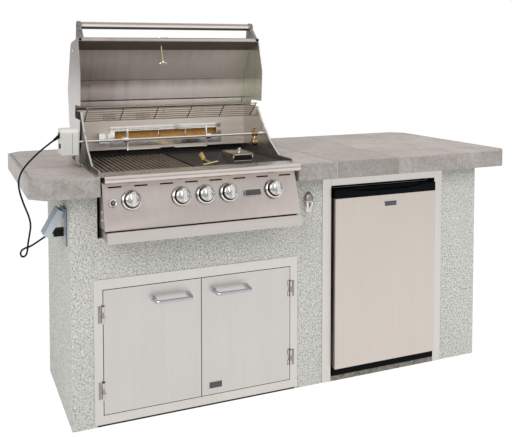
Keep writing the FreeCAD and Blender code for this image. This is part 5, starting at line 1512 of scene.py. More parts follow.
@dataclass
class Base:
    """Stucco walls on their welded tube frame."""

    wall: float = 0.020
    corner_radius: float = 0.006
    past: float = 0.05
    # Left, right, bottom and top of the openings for the doors, the refrigerator and the grill.
    openings: tuple[tuple, ...] = (
        (-0.806, -0.024, None, 0.516), (0.125, 0.720, None, 0.857), (-0.817, -0.024, 0.700, None),
    )
    # Front, back, bottom and top of the outlet's opening.
    outlet: tuple[float, float, float, float] = (-0.246, -0.190, 0.683, 0.781)

    def build(self) -> None:
        """Cast the walls as one coat with rounded corners, and dress the frame behind."""
        low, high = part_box("front_wall")
        high.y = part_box("back_wall")[1].y
        wall, past = self.wall, self.past
        under, over, left, front = low.z - past, high.z + past, low.x + wall, low.y + wall
        spans = [((left, front, under), (high.x - wall, high.y - wall, over))]
        for x0, x1, bottom, top in self.openings:
            spans.append(((x0, low.y - past, bottom or under), (x1, front + past, top or over)))
        y0, y1, z0, z1 = self.outlet
        spans.append(((low.x - past, y0, z0), (left + past, y1, z1)))
        cutters = [self.block("cutter", *span) for span in spans]
        coat = self.block("coat", low, high, self.corner_radius)
        for cutter in cutters:
            cut = coat.modifiers.new("cut", "BOOLEAN")
            cut.operation = "DIFFERENCE"
            cut.solver = "EXACT"
            cut.object = cutter
        graph = bpy.context.evaluated_depsgraph_get()
        mesh = bpy.data.meshes.new_from_object(coat.evaluated_get(graph), depsgraph=graph)
        for spent in (coat, *cutters):
            bpy.data.objects.remove(spent)
        mesh.materials.append(STUCCO.material())
        settle("stucco_walls", mesh, ISLAND, ("front_wall", "side_walls", "back_wall"))
        dress_node("steel_frame", TUBE_STEEL)

    @staticmethod
    def block(
        name: str, low: Sequence[float], high: Sequence[float], corner: float = 0.0,
    ) -> bpy.types.Object:
        """Stand a box between two corners, for cutting.

        Args:
            name: Name of the box.
            low: Its lowest corner.
            high: Its highest corner.
            corner: Radius of its upright edges, or zero.

        Returns:
            The box as an object.
        """
        mesh = bpy.data.meshes.new(name)
        part = box_mesh(low, high)
        if corner > 0.0:
            half = (high[2] - low[2]) / 2
            upright = [e for e in part.edges if abs(e.verts[0].co.z - e.verts[1].co.z) > half]
            round_off(part, upright, corner, 4)
        part.to_mesh(mesh)
        part.free()
        return shown(name, mesh)


@dataclass
class Counter:
    """Tiled top on its deck, with narrow tiles round the rim."""

    tile_edge: float = 0.0016
    rim_edge: float = 0.0020
    grout_edge: float = 0.0003

    def build(self) -> None:
        """Round every tile's edges, and dress the grout and the deck."""
        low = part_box("edge_tiles")[0]
        corner = (low.x, low.y, 0.0)
        top = Tile("top_tile", (177, 165, 158), corner, (148, 135, 126), (198, 188, 181))
        rim = Tile("edge_tile", (166, 160, 155), corner, (142, 134, 127), (186, 181, 175), 0.45)
        softened("top_tiles", top, self.tile_edge, 3)
        softened("edge_tiles", rim, self.rim_edge, 3)
        # Level faces of the bed take the darker grout as painted shade, and upright faces take the paler
        # one.
        softened(
            "grout_bed", SHADED_GROUT, self.grout_edge, 1, RIM_GROUT, lambda normal, middle: abs(normal.z) < 0.5,
        )
        dress_node("counter_deck", BOARD)


@dataclass
class StorageDoors(Assembly):
    """Two steel doors in their frame, with bow handles and a blank plate."""

    frame_edge: float = 0.0014
    frame_margin: float = 0.010
    pin_edge: float = 0.0004
    handle_edge: float = 0.0515
    handle_span: float = 0.141
    handle_level: float = 0.453
    handle_out: float = 0.045
    bar_radius: float = 0.0068
    bow: float = 0.017
    bow_steps: int = 8
    foot: tuple[Pair, ...] = ((0.0, 0.0), (0.0105, 0.0), (0.0105, 0.0024), (0.0090, 0.0044), (0.0, 0.0052))
    plate_middle: Pair = (-0.357, 0.081)
    plate_size: Pair = (0.056, 0.027)
    leaf_width: float = 0.009
    leaf_thick: float = 0.0014
    leaf_share: float = 0.4
    strip_set_back: float = 0.003
    strip: float = 0.012
    catch_levels: Pair = (0.12, 0.44)
    catch_inset: float = 0.004
    catch_width: float = 0.030
    catch_height: float = 0.018

    def build(self) -> None:
        """Stand soft-edged pans in the doors' places, and add their fittings."""
        inner = inside_box("door_frame", self.frame_margin)
        softened("door_frame", FRAME_STEEL, self.frame_edge, 2, SHADED_STEEL, inner)
        softened("door_hinge_pins", HINGE_STEEL, self.pin_edge)
        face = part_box("door_frame")[0].y
        self.leaves(face)
        self.foot_strip()
        for side in Side:
            door = f"{side.word}_door"
            softened(
                door, DOOR_STEEL, MOULD, 3, SHADED_STEEL, lambda normal, middle: abs(normal.y) < 0.5,
                keep=lambda low, high: low.y > face - self.handle_out / 2,
            )
            self.handle(door, side.value)
        x, z = self.plate_middle
        self.blank_plate("door_plate", "right_door", Vector((x, face, z)), -Y_AXIS, self.plate_size)
        for side in Side:
            self.catches(side)

    def handle(self, door: str, side: int) -> None:
        """Bend a bar handle out of the door and back, with a foot at each end.

        Args:
            door: Name of the door.
            side: Minus one for the left door, one for the right.
        """
        low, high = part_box("door_frame")
        near = (low.x + high.x) / 2 + side * self.handle_edge
        far = near + side * self.handle_span
        face, level = low.y, self.handle_level
        points = [Vector((near, face, level))]
        for step in range(self.bow_steps + 1):
            angle = math.pi / 2 * step / self.bow_steps
            along = self.bow * (1 - math.cos(angle))
            rise = self.handle_out - self.bow + self.bow * math.sin(angle)
            points.append(Vector((near + side * along, face - rise, level)))
        mirrored = [Vector((near + far - point.x, point.y, level)) for point in reversed(points)]
        middle = Vector(((near + far) / 2, face - self.handle_out, level))
        shape = Shape()
        shape.tube(points + [middle] + mirrored, self.bar_radius, HANDLE_CHROME, 18)
        for x in (near, far):
            shape.lathe(self.foot, HANDLE_CHROME, placed(Vector((x, face, level)), -Y_AXIS), 24)
        shape.piece(f"{door}_handle", door)

    def leaves(self, face: float) -> None:
        """Lay a hinge leaf on the frame beside each hinge's barrel.

        Args:
            face: Y of the frame's front.
        """
        leaves = Shape()
        frame_low, frame_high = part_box("door_frame")
        for low, high in loose_boxes("door_hinge_pins"):
            side = -1 if low.x < (frame_low.x + frame_high.x) / 2 else 1
            edge = low.x if side < 0 else high.x
            out, back = self.leaf_width * (1 - self.leaf_share), self.leaf_width * self.leaf_share
            x0, x1 = sorted((edge + side * out, edge - side * back))
            leaves.slab((x0, face - self.leaf_thick, low.z), (x1, face, high.z), HINGE_STEEL)
        leaves.piece("hinge_leaves")

    def foot_strip(self) -> None:
        """Stand a strip of painted shade behind the frame's foot, down to the floor."""
        low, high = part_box("door_frame")
        y, size = low.y + self.strip_set_back, self.strip
        strip = Shape()
        strip.slab((low.x + size, y, FOLD), (high.x - size, y + size, low.z + LAP), SHADED_STEEL)
        strip.piece("foot_strip")

    def catches(self, side: Side) -> None:
        """Add the two catches inside a door.

        Args:
            side: Side of the door.
        """
        door = f"{side.word}_door"
        low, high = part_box(door)
        inner = high.x - self.catch_inset if side is Side.LEFT else low.x + self.catch_inset
        x0, x1 = sorted((inner, inner + side.value * self.catch_width))
        catch = Shape()
        for z in self.catch_levels:
            top = (x1, high.y + 0.004, z + self.catch_height)
            catch.slab((x0, high.y - 0.002, z), top, BLACK_PLASTIC, MOULD)
        catch.piece(f"{door}_catches", door)


@dataclass
class Refrigerator(Assembly):
    """Built-in refrigerator: steel door with a black cap, trim, sill and white cabinet."""

    trim_margin: float = 0.008
    skin: float = 0.004
    grip_half: float = 0.186
    grip_depth: float = 0.017
    grip_height: float = 0.018
    grip_steps: int = 44
    grip_past: float = 1.02
    cap_ends: Triple = (0.0, 0.0015, 0.005)
    cap_radius: float = 0.006
    cap_back: float = 0.002
    cap_steps: int = 10
    scoop: float = 0.7
    plate_middle: Pair = (0.439, 0.733)
    plate_size: Pair = (0.062, 0.022)
    louvres: int = 22
    louvre_ends: float = 0.05
    louvre_size: Triple = (0.014, 0.0035, 0.0022)
    gasket_inset: float = 0.018
    gasket_width: float = 0.014
    # How far in each rib of the gasket lies, and how much higher it stands.
    gasket_ribs: tuple[Pair, ...] = ((0.0, 0.0), (0.0045, 0.001), (0.009, 0.0))
    thermostat: Triple = (0.085, 0.07, 0.045)
    dial: tuple[Pair, ...] = ((0.0, 0.0), (0.015, 0.0), (0.015, 0.006), (0.012, 0.009), (0.0, 0.009))
    liner_rim: float = 0.042
    liner_top: float = 0.012
    # Node, finish, radius of its edges and steps in them.
    nodes: tuple[tuple, ...] = (
        ("fridge_base", BLACK_PLASTIC, 0.0015, 2), ("fridge_shelves", SHELF_GLASS, 0.0010, 2),
    )

    def build(self) -> None:
        """Build the door's cap, the liner's fittings and the kick plate's louvres."""
        softened("fridge_door", FRIDGE_STEEL, 0.0045, 3)
        inner = inside_box("fridge_trim", self.trim_margin)
        softened("fridge_trim", FRAME_STEEL, 0.0008, 2, SHADED_STEEL, inner)
        softened("fridge_sill", STONE, 0.0020, 2)
        softened("fridge_cabinet", WHITE_PLASTIC, 0.0020, 2, BLACK_PLASTIC, self.outer_skin)
        for row in self.nodes:
            softened(*row)
        self.cap()
        x, z = self.plate_middle
        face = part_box("fridge_door")[0].y
        self.blank_plate("fridge_plate", "fridge_door", Vector((x, face, z)), -Y_AXIS, self.plate_size)
        self.kick()
        self.inside()
        self.door_liner()

    def outer_skin(self, normal: Vector, middle: Vector) -> bool:
        """Tell whether a face is on the outside of the cabinet, its front apart.

        Args:
            normal: The face's normal.
            middle: Its middle.

        Returns:
            True for the outside.
        """
        low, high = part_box("fridge_cabinet")
        sides = min(middle.x - low.x, high.x - middle.x, middle.z - low.z, high.z - middle.z)
        return normal.y > -0.5 and (sides < self.skin or high.y - middle.y < self.skin)

    def cap(self) -> None:
        """Loft the black cap along X, with a curved grip scooped out of its front edge."""
        low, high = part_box("fridge_door")
        top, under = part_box("fridge_cap_and_gasket")[1].z, high.z
        centre, span = (low.x + high.x) / 2, self.grip_half * self.grip_past
        stations = [low.x + end for end in self.cap_ends]
        stations += [
            centre - span + 2 * span * step / self.grip_steps for step in range(self.grip_steps + 1)
        ]
        stations += [high.x - end for end in reversed(self.cap_ends)]
        sections = []
        for x in stations:
            reach = abs(x - centre) / self.grip_half
            share = math.sqrt(max(0.0, 1.0 - reach ** 4)) if reach < 1.0 else 0.0
            inset = self.cap_ends[1] if x in (low.x, high.x) else 0.0
            edges = (low.y + inset, high.y - inset, under + inset, top - inset)
            sections.append(self.cap_section(x, edges, share))
        shape = Shape()
        shape.loft(sections, BLACK_PLASTIC)
        self.gasket(shape)
        shape.piece("fridge_cap", "fridge_door", "fridge_cap_and_gasket", "black_plastic")

    def cap_section(self, x: float, edges: Sequence[float], share: float) -> list[Vector]:
        """Outline of the cap at one place along X.

        Args:
            x: Place along X.
            edges: Y of the front and the back face, and the lowest and the highest level.
            share: How far the grip is scooped out here, from zero to one.

        Returns:
            Points of the closed outline.
        """
        front, back, under, top = edges
        radius = self.cap_radius
        depth, drop = self.grip_depth * share, self.grip_height * share
        points = [(back, under), (front, under), (front, top - radius - drop)]
        for step in range(self.cap_steps + 1):
            angle = math.pi / 2 * step / self.cap_steps
            round_y = front + radius * (1 - math.cos(angle))
            round_z = top - radius + radius * math.sin(angle)
            scoop_y = front + depth * math.sin(angle) ** self.scoop
            scoop_z = top - drop * math.cos(angle)
            points.append((
                round_y * (1 - share) + scoop_y * share, round_z * (1 - share) + scoop_z * share,
            ))
        points += [(back - self.cap_back, top), (back, top - self.cap_back)]
        return [Vector((x, y, z)) for y, z in points]

    def gasket(self, shape: Shape) -> None:
        """Add the ribbed seal round the back of the door.

        Args:
            shape: Shape that takes the seal.
        """
        low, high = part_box("fridge_cap_and_gasket")
        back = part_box("fridge_door")[1].y
        half = self.gasket_width / 3
        for rib, lift in self.gasket_ribs:
            x0, x1 = low.x + self.gasket_inset + rib, high.x - self.gasket_inset - rib
            z0, z1 = low.z + rib, high.z - self.gasket_inset - rib
            y1 = back + (high.y - back) - LAP + lift
            for z in (z0, z1 - half):
                shape.slab((x0, back, z), (x1, y1, z + half), RUBBER, MOULD)
            for x in (x0, x1 - half):
                shape.slab((x, back, z0), (x + half, y1, z1), RUBBER, MOULD)

    def kick(self) -> None:
        """Stand louvres along the kick plate."""
        low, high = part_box("fridge_base")
        middle = (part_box("fridge_sill")[1].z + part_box("fridge_door")[0].z) / 2
        pitch = (high.x - low.x - self.louvre_ends) / (self.louvres - 1)
        start, y = low.x + self.louvre_ends / 2, low.y - 0.0008
        places = [Vector((start + index * pitch, y, middle)) for index in range(self.louvres)]
        facings = [-Y_AXIS] * self.louvres
        bar_tree().grow("kick_louvres", ISLAND, places, facings, BLACK_PLASTIC, self.louvre_size)

    def inside(self) -> None:
        """Add shelf trims and a thermostat."""
        low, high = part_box("fridge_shelves")
        trims = Shape()
        for z in sorted(shelf_low.z for shelf_low, _ in loose_boxes("fridge_shelves")):
            far = (high.x, low.y + 0.008, z + 0.008)
            trims.slab((low.x, low.y - 0.004, z - 0.004), far, WHITE_PLASTIC, 0.003)
        corner = Vector((high.x - 0.09, low.y + 0.02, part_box("fridge_cabinet")[1].z - 0.075))
        trims.slab(corner, corner + Vector(self.thermostat), WHITE_PLASTIC, 0.006)
        at = placed(corner + Vector((0.042, 0.0, 0.022)), -Y_AXIS)
        trims.lathe(self.dial, GREY_PLASTIC, at, 28)
        trims.slab((-0.0015, -0.013, 0.009), (0.0015, 0.013, 0.0115), BADGE_FACE, FOLD, at)
        trims.piece("shelf_trims")

    def door_liner(self) -> None:
        """Set the inner tray in the back of the door."""
        low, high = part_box("fridge_door")
        rim, back = self.liner_rim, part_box("fridge_cap_and_gasket")[1].y
        liner = Shape()
        liner.slab(
            (low.x + rim, high.y - LAP, low.z + rim), (high.x - rim, back - FOLD, high.z - self.liner_top),
            WHITE_PLASTIC, 0.0025,
        )
        liner.piece("door_liner", "fridge_door")


@dataclass
class GrillBody(Assembly):
    """Firebox, cheeks, rear panel, rear burner, sill, drip tray and everything under the grates."""

    hole_pitch: float = 0.0052
    hole_radius: float = 0.00155
    hole_depth: float = 0.0006
    hole_margin: float = 0.012
    dividers: Triple = (-0.172, -0.034, 0.092)
    divider_half: float = 0.002
    divider_out: float = 0.004
    burner_width: float = 0.515
    ceramic_inset: float = 0.0085
    ceramic_back: float = 0.0082
    seat: float = 0.002
    cheek_thick: float = 0.007
    plate_thick: float = 0.0016
    plate_drop: float = 0.052
    plate_span: Pair = (-0.022, 0.060)
    screw_inset: float = 0.02
    screw_drop: float = 0.014
    side_screw_levels: Pair = (0.775, 0.805)
    side_screw_back: float = 0.052
    # Node, finish, radius of its edges and steps in them.
    nodes: tuple[tuple, ...] = (
        ("rear_panel", REAR_STEEL, 0.0003), ("front_sill", SILL_STEEL, 0.0008, 2),
        ("drip_tray", TRAY_STEEL, 0.0022, 3), ("flame_tamers", RUST, 0.0006), ("main_burners", RUST, FOLD),
        ("gas_manifold", TUBE_STEEL, 0.0006),
    )

    def build(self) -> None:
        """Dress the steelwork and add the burner's face and the screws."""
        softened("firebox", CHEEK_STEEL, 0.0006, 1, SOOT_AND_SHADE_STEEL, self.in_the_fire)
        softened("firebox_cheeks", CHEEK_STEEL, MOULD, 2, SHADED_CHEEK_STEEL, self.outer_side)
        for row in self.nodes:
            softened(*row)
        self.hinge_plates()
        self.burner()
        self.screws()

    def in_the_fire(self, normal: Vector, middle: Vector) -> bool:
        """Tell whether a face of the firebox takes the dark finish: soot where it looks into the fire,
        painted shade below the counter's deck.

        Args:
            normal: The face's normal.
            middle: Its middle.

        Returns:
            True for a sooted face, and for a face in painted shade.
        """
        low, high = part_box("rear_panel")
        behind = normal.y < -0.5 and middle.y > high.y
        inside = low.x - self.seat < middle.x < high.x + self.seat and middle.z < low.z + self.seat
        # Every face below the counter's deck takes the dark finish as painted shade of the gap round the
        # firebox.
        return behind or inside or middle.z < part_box("counter_deck")[1].z

    @staticmethod
    def outer_side(normal: Vector, middle: Vector) -> bool:
        """Tell whether a face of a cheek looks away from the grill; these faces take painted shade."""
        return outwards("firebox_cheeks", normal, middle) > 0.3

    def hinge_plates(self) -> None:
        """Lay a thin black plate on the outside of each cheek, where the hood passes."""
        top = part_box("firebox_cheeks")[1].z
        low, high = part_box("rear_panel")
        front, back = self.plate_span
        shape = Shape()
        for x in (low.x - self.cheek_thick - self.plate_thick, high.x + self.cheek_thick):
            corner = (x + self.plate_thick, back, top - FOLD)
            shape.slab((x, front, top - self.plate_drop), corner, RUBBER)
        shape.piece("hinge_plates")

    def burner(self) -> None:
        """Face the rear burner with ceramic tiles between bright dividers, with discs of painted shade laid
        on them for their holes.
        """
        softened("rear_burner", CHROME, 0.0010, 2)
        low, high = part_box("rear_burner")
        inset, half, margin = self.ceramic_inset, self.divider_half, self.hole_margin
        a = Vector((high.x - self.burner_width + inset, high.y - self.ceramic_back, low.z + inset))
        b = Vector((high.x - inset, high.y - self.ceramic_back + self.seat, high.z - inset))
        middle = (a.x + b.x) / 2
        edges = [a.x] + [middle + x for x in self.dividers] + [b.x]
        face = Shape()
        for start, end in zip(edges, edges[1:]):
            face.slab((start + LAP, a.y, a.z), (end - LAP, b.y, b.z), CERAMIC, 0.0015)
        for x in edges[1:-1]:
            face.slab((x - half, a.y - self.divider_out, a.z), (x + half, a.y, b.z), CHROME, 0.0008)
        face.piece("burner_tiles")
        holes = hole_tree()
        hole = (self.hole_pitch, self.hole_radius, self.hole_depth)
        for number, (start, end) in enumerate(zip(edges, edges[1:]), 1):
            sizes = (end - start - margin, b.z - a.z - margin, *hole)
            at = placed(Vector(((start + end) / 2, a.y - 0.0001, (a.z + b.z) / 2)), -Y_AXIS)
            holes.grow(f"burner_holes_{number}", ISLAND, [Vector()], [Z_AXIS], CERAMIC_HOLE_SHADE, sizes, at)

    def screws(self) -> None:
        """Screw the rear panel and the control panel's sides in place."""
        low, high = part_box("rear_panel")
        first, last, count = low.x + self.screw_inset, high.x - self.screw_inset, 5
        row = [first + (last - first) * step / (count - 1) for step in range(count)]
        places = [Vector((x, low.y, high.z - self.screw_drop)) for x in row]
        places += [Vector((x, low.y, low.z + self.screw_inset)) for x in (first, last)]
        self.fasten("rear_panel_screws", ISLAND, places, -Y_AXIS)
        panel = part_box("control_panel")
        y = panel[0].y + self.side_screw_back
        for side, corner in zip(Side, panel):
            places = [Vector((corner.x, y, z)) for z in self.side_screw_levels]
            self.fasten(f"{side.word}_side_screws", ISLAND, places, side.out)


@dataclass
class ControlPanel(Assembly):
    """Slanted panel with five knobs, a push button and a blank plate. Profiles are (radius, height)."""

    knobs: int = 5
    plate_x: float = -0.228
    plate_level: float = 0.839
    plate_size: Pair = (0.068, 0.025)
    ring: tuple[Pair, ...] = (
        (0.0282, 0.0002), (0.0366, 0.0), (0.0366, 0.0018), (0.0356, 0.0034), (0.0340, 0.0056),
        (0.0322, 0.0066), (0.0300, 0.0062), (0.0284, 0.0046), (0.0282, 0.0002),
    )
    well: tuple[Pair, ...] = (
        (0.0085, 0.0002), (0.0283, 0.0002), (0.0283, 0.0018), (0.0085, 0.0018), (0.0085, 0.0002),
    )
    knob_seat: float = 0.008
    knob_skirt: float = 0.019
    knob_top: float = 0.041
    # Above the knob's seat, above its skirt, and above its top.
    rim: tuple[Pair, ...] = (
        (0.0042, 0.0), (0.0262, 0.0), (0.0276, 0.0014), (0.0274, 0.0050), (0.0266, 0.0070), (0.0042, 0.0070),
    )
    crown_foot: tuple[Pair, ...] = ((0.0042, 0.0068), (0.0266, 0.0068))
    crown: tuple[Pair, ...] = (
        (0.0258, -0.0020), (0.0226, 0.0004), (0.0180, 0.0020), (0.0120, 0.0032), (0.0, 0.0038),
    )
    dot: tuple[Pair, ...] = ((0.0, -0.0012), (0.0021, -0.0012), (0.0021, -0.0001), (0.0, 0.0))
    dot_place: Triple = (0.0, 0.0180, -0.0001)
    grip_half: float = 0.0092
    grip_long: float = 0.0268
    grip_steps: int = 10
    button_ring: tuple[Pair, ...] = (
        (0.0093, 0.0001), (0.0150, 0.0), (0.0150, 0.0012), (0.0138, 0.0026), (0.0112, 0.0030),
        (0.0095, 0.0020), (0.0093, 0.0001),
    )
    button_face: tuple[Pair, ...] = (
        (0.0, -0.0020), (0.0088, -0.0020), (0.0088, 0.0024), (0.0082, 0.0034), (0.0062, 0.0039),
        (0.0, 0.0040),
    )
    button_dot: tuple[Pair, ...] = ((0.0, 0.0038), (0.0030, 0.0038), (0.0030, 0.0043), (0.0, 0.0045))

    @property
    def out(self) -> Vector:
        """Direction out of the panel."""
        return Vector(JOINTS["knob_1_turn"]["axis"]).normalized()

    def build(self) -> None:
        """Build the panel's face and everything on it."""
        softened("control_panel", PANEL_STEEL, 0.0008, 2)
        bezels = Shape()
        for number in range(1, self.knobs + 1):
            at = placed(Vector(JOINTS[f"knob_{number}_turn"]["pos_m"]), self.out)
            bezels.lathe(self.ring, CHROME, at, 56)
            bezels.lathe(self.well, DARK_CHROME, at, 48)
            self.knob(f"knob_{number}", f"turned_knob_{number}", at)
        bezels.piece("stepped_bezels", ISLAND, "knob_bezels", "chrome")
        self.button()
        middle = self.panel_point(self.plate_x, self.plate_level)
        self.blank_plate("panel_plate", ISLAND, middle, self.out, self.plate_size)

    def panel_point(self, x: float, level: float) -> Vector:
        """Find a point on the panel's face.

        Args:
            x: Its place along X.
            level: Its level.

        Returns:
            The point.
        """
        origin = Vector(JOINTS["knob_1_turn"]["pos_m"])
        run = (level - origin.z) / self.out.y * self.out.z
        return Vector((x, origin.y - run, level))

    def knob(self, body: str, name: str, at: Matrix) -> None:
        """Turn a knob's skirt, raise its grip and mark its pointer.

        Args:
            body: The knob's body, which is also its CAD node.
            name: Name of the piece.
            at: Frame on the panel at its stem.
        """
        seat, skirt, top = self.knob_seat, self.knob_skirt, self.knob_top
        shape = Shape()
        shape.lathe([(radius, seat + rise) for radius, rise in self.rim], DARK_CHROME, at, 48)
        crown = [(radius, seat + rise) for radius, rise in self.crown_foot]
        crown += [(radius, skirt + rise) for radius, rise in self.crown]
        shape.lathe(crown, KNOB_CHROME, at, 48)
        levels = (
            (skirt - 0.002, 1.06), (skirt + 0.006, 1.0), (top - 0.006, 0.93), (top - 0.002, 0.86),
            (top - 0.0002, 0.66),
        )
        sections = []
        for level, share in levels:
            long = self.grip_long * (0.90 + 0.10 * share) - (1 - share) * 0.006
            thick = self.grip_half * share
            outline = []
            for end in (1, -1):
                for step in range(self.grip_steps + 1):
                    angle = math.pi * step / self.grip_steps
                    x = end * thick * math.cos(angle)
                    y = end * (long - thick * 0.9 + thick * 0.9 * math.sin(angle))
                    outline.append(at @ Vector((x, y, level)))
            sections.append(outline)
        shape.loft(sections, GRIP_CHROME)
        dot = [(radius, top + rise) for radius, rise in self.dot]
        shape.lathe(dot, BLACK_PLASTIC, at @ Matrix.Translation(self.dot_place), 16)
        shape.piece(name, body, body, "chrome")

    def button(self) -> None:
        """Ring the light's push button, and crown its face."""
        low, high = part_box("light_button")
        level = JOINTS["light_button_push"]["pos_m"][2]
        at = placed(self.panel_point((low.x + high.x) / 2, level), self.out)
        ring = Shape()
        ring.lathe(self.button_ring, CHROME, at, 36)
        ring.piece("button_ring")
        face = Shape()
        face.lathe(self.button_face, DARK_CHROME, at, 32)
        face.lathe(self.button_dot, GREY_PLASTIC, at, 20)
        face.piece("crowned_button", "light_button", "light_button", "button_plastic")


@dataclass
class Grates(Assembly):
    """Bar grate, griddle, grate lifter and smoker box."""

    handle_width: float = 0.020
    bar_width: float = 0.009
    handle_start: Pair = (0.1255, 0.314)
    handle_end: Pair = (0.0655, 0.108)
    claw_start: Pair = (0.0215, 0.016)
    claw_end: Pair = (0.1085, 0.076)
    neck: float = 0.82
    # Share of the handle's length, and of its width.
    handle_swell: tuple[Pair, ...] = (
        (0.0, 0.45), (0.02, 0.8), (0.06, 0.98), (0.3, 1.0), (0.55, 0.86), (0.8, 0.94), (0.95, 0.8),
        (1.0, 0.5),
    )
    claw_radii: Triple = (0.0035, 0.0046, 0.0035)
    tine_radii: Triple = (0.0034, 0.0030, 0.0018)
    tine_long: float = 0.018
    tine_lean: float = 0.002
    smoker_rail: float = 0.0045
    lid_thick: float = 0.003
    lid_knob: tuple[Pair, ...] = (
        (0.0, 0.0), (0.0048, 0.0), (0.0036, 0.003), (0.0034, 0.0085), (0.0062, 0.0098), (0.0070, 0.0122),
        (0.0066, 0.0158), (0.0044, 0.0178), (0.0, 0.0183),
    )

    def build(self) -> None:
        """Dress the cast pieces and build the small ones."""
        softened("cooking_grate", GRATE_IRON, 0.0016, 2)
        softened("griddle", CAST_IRON, 0.0020, 2)
        self.lifter()
        self.smoker()

    def lifter(self) -> None:
        """Shape the lifter's lacquered handle, its shank and its forked claw."""
        low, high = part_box("grate_lifter")
        spit_x, wall_y = Vector(JOINTS["spit_turn"]["pos_m"]).x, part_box("front_wall")[0].y
        level = (low.z + high.z) / 2
        start, end, claw_a, claw_b = (
            Vector((spit_x + x, wall_y + y, level))
            for x, y in (self.handle_start, self.handle_end, self.claw_start, self.claw_end)
        )
        neck, middle = start.lerp(end, self.neck), (claw_a + claw_b) / 2
        thick, half, bar = (high.z - low.z) / 2, self.handle_width / 2, self.bar_width / 2
        shape = Shape()
        points = [start.lerp(neck, share) for share, _ in self.handle_swell]
        shape.tube(points, [half * width for _, width in self.handle_swell], YELLOW, 20, thick / half)
        shape.tube([neck, neck.lerp(middle, 0.5), middle], bar, PALE_BRASS, 14, thick / bar)
        shape.tube([claw_a, claw_a.lerp(claw_b, 0.5), claw_b], self.claw_radii, PALE_BRASS, 14, 0.62)
        forward = (middle - neck).normalized()
        across = (claw_b - claw_a).normalized()
        for share, lean in ((0.06, self.tine_lean), (0.94, -self.tine_lean)):
            root = claw_a.lerp(claw_b, share)
            tip = root - forward * self.tine_long + across * lean
            shape.tube([root, root.lerp(tip, 0.5), tip], self.tine_radii, PALE_BRASS, 12, 0.7)
        shape.piece("lifter", ISLAND, "grate_lifter", "lifter_brass")

    def smoker(self) -> None:
        """Frame the smoker box's front and give its lid a turned knob."""
        softened("smoker_box", SILL_STEEL, 0.0010, 2, SHADED_STEEL, lambda normal, middle: normal.y < -0.5)
        low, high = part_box("smoker_box")
        trim, rail = Shape(), self.smoker_rail
        for x0, x1, z0, z1 in (
            (low.x, high.x, high.z - rail, high.z), (low.x, high.x, low.z, low.z + rail),
            (low.x, low.x + rail, low.z, high.z), (high.x - rail, high.x, low.z, high.z),
        ):
            trim.slab((x0, low.y - 0.0014, z0), (x1, low.y + 0.0004, z1), CHROME, 0.0006)
        trim.piece("smoker_trim")
        lid_low, lid_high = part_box("smoker_lid")
        top = lid_low.z + self.lid_thick
        lid = Shape()
        lid.slab(lid_low, (lid_high.x, lid_high.y, top), RACK_CHROME, MOULD)
        knob = ((lid_low.x + lid_high.x) / 2, low.y + (high.y - low.y) / 3, top - 0.0004)
        lid.lathe(self.lid_knob, CHROME, Matrix.Translation(knob), 28)
        lid.piece("smoker_cover", "smoker_lid", "smoker_lid")


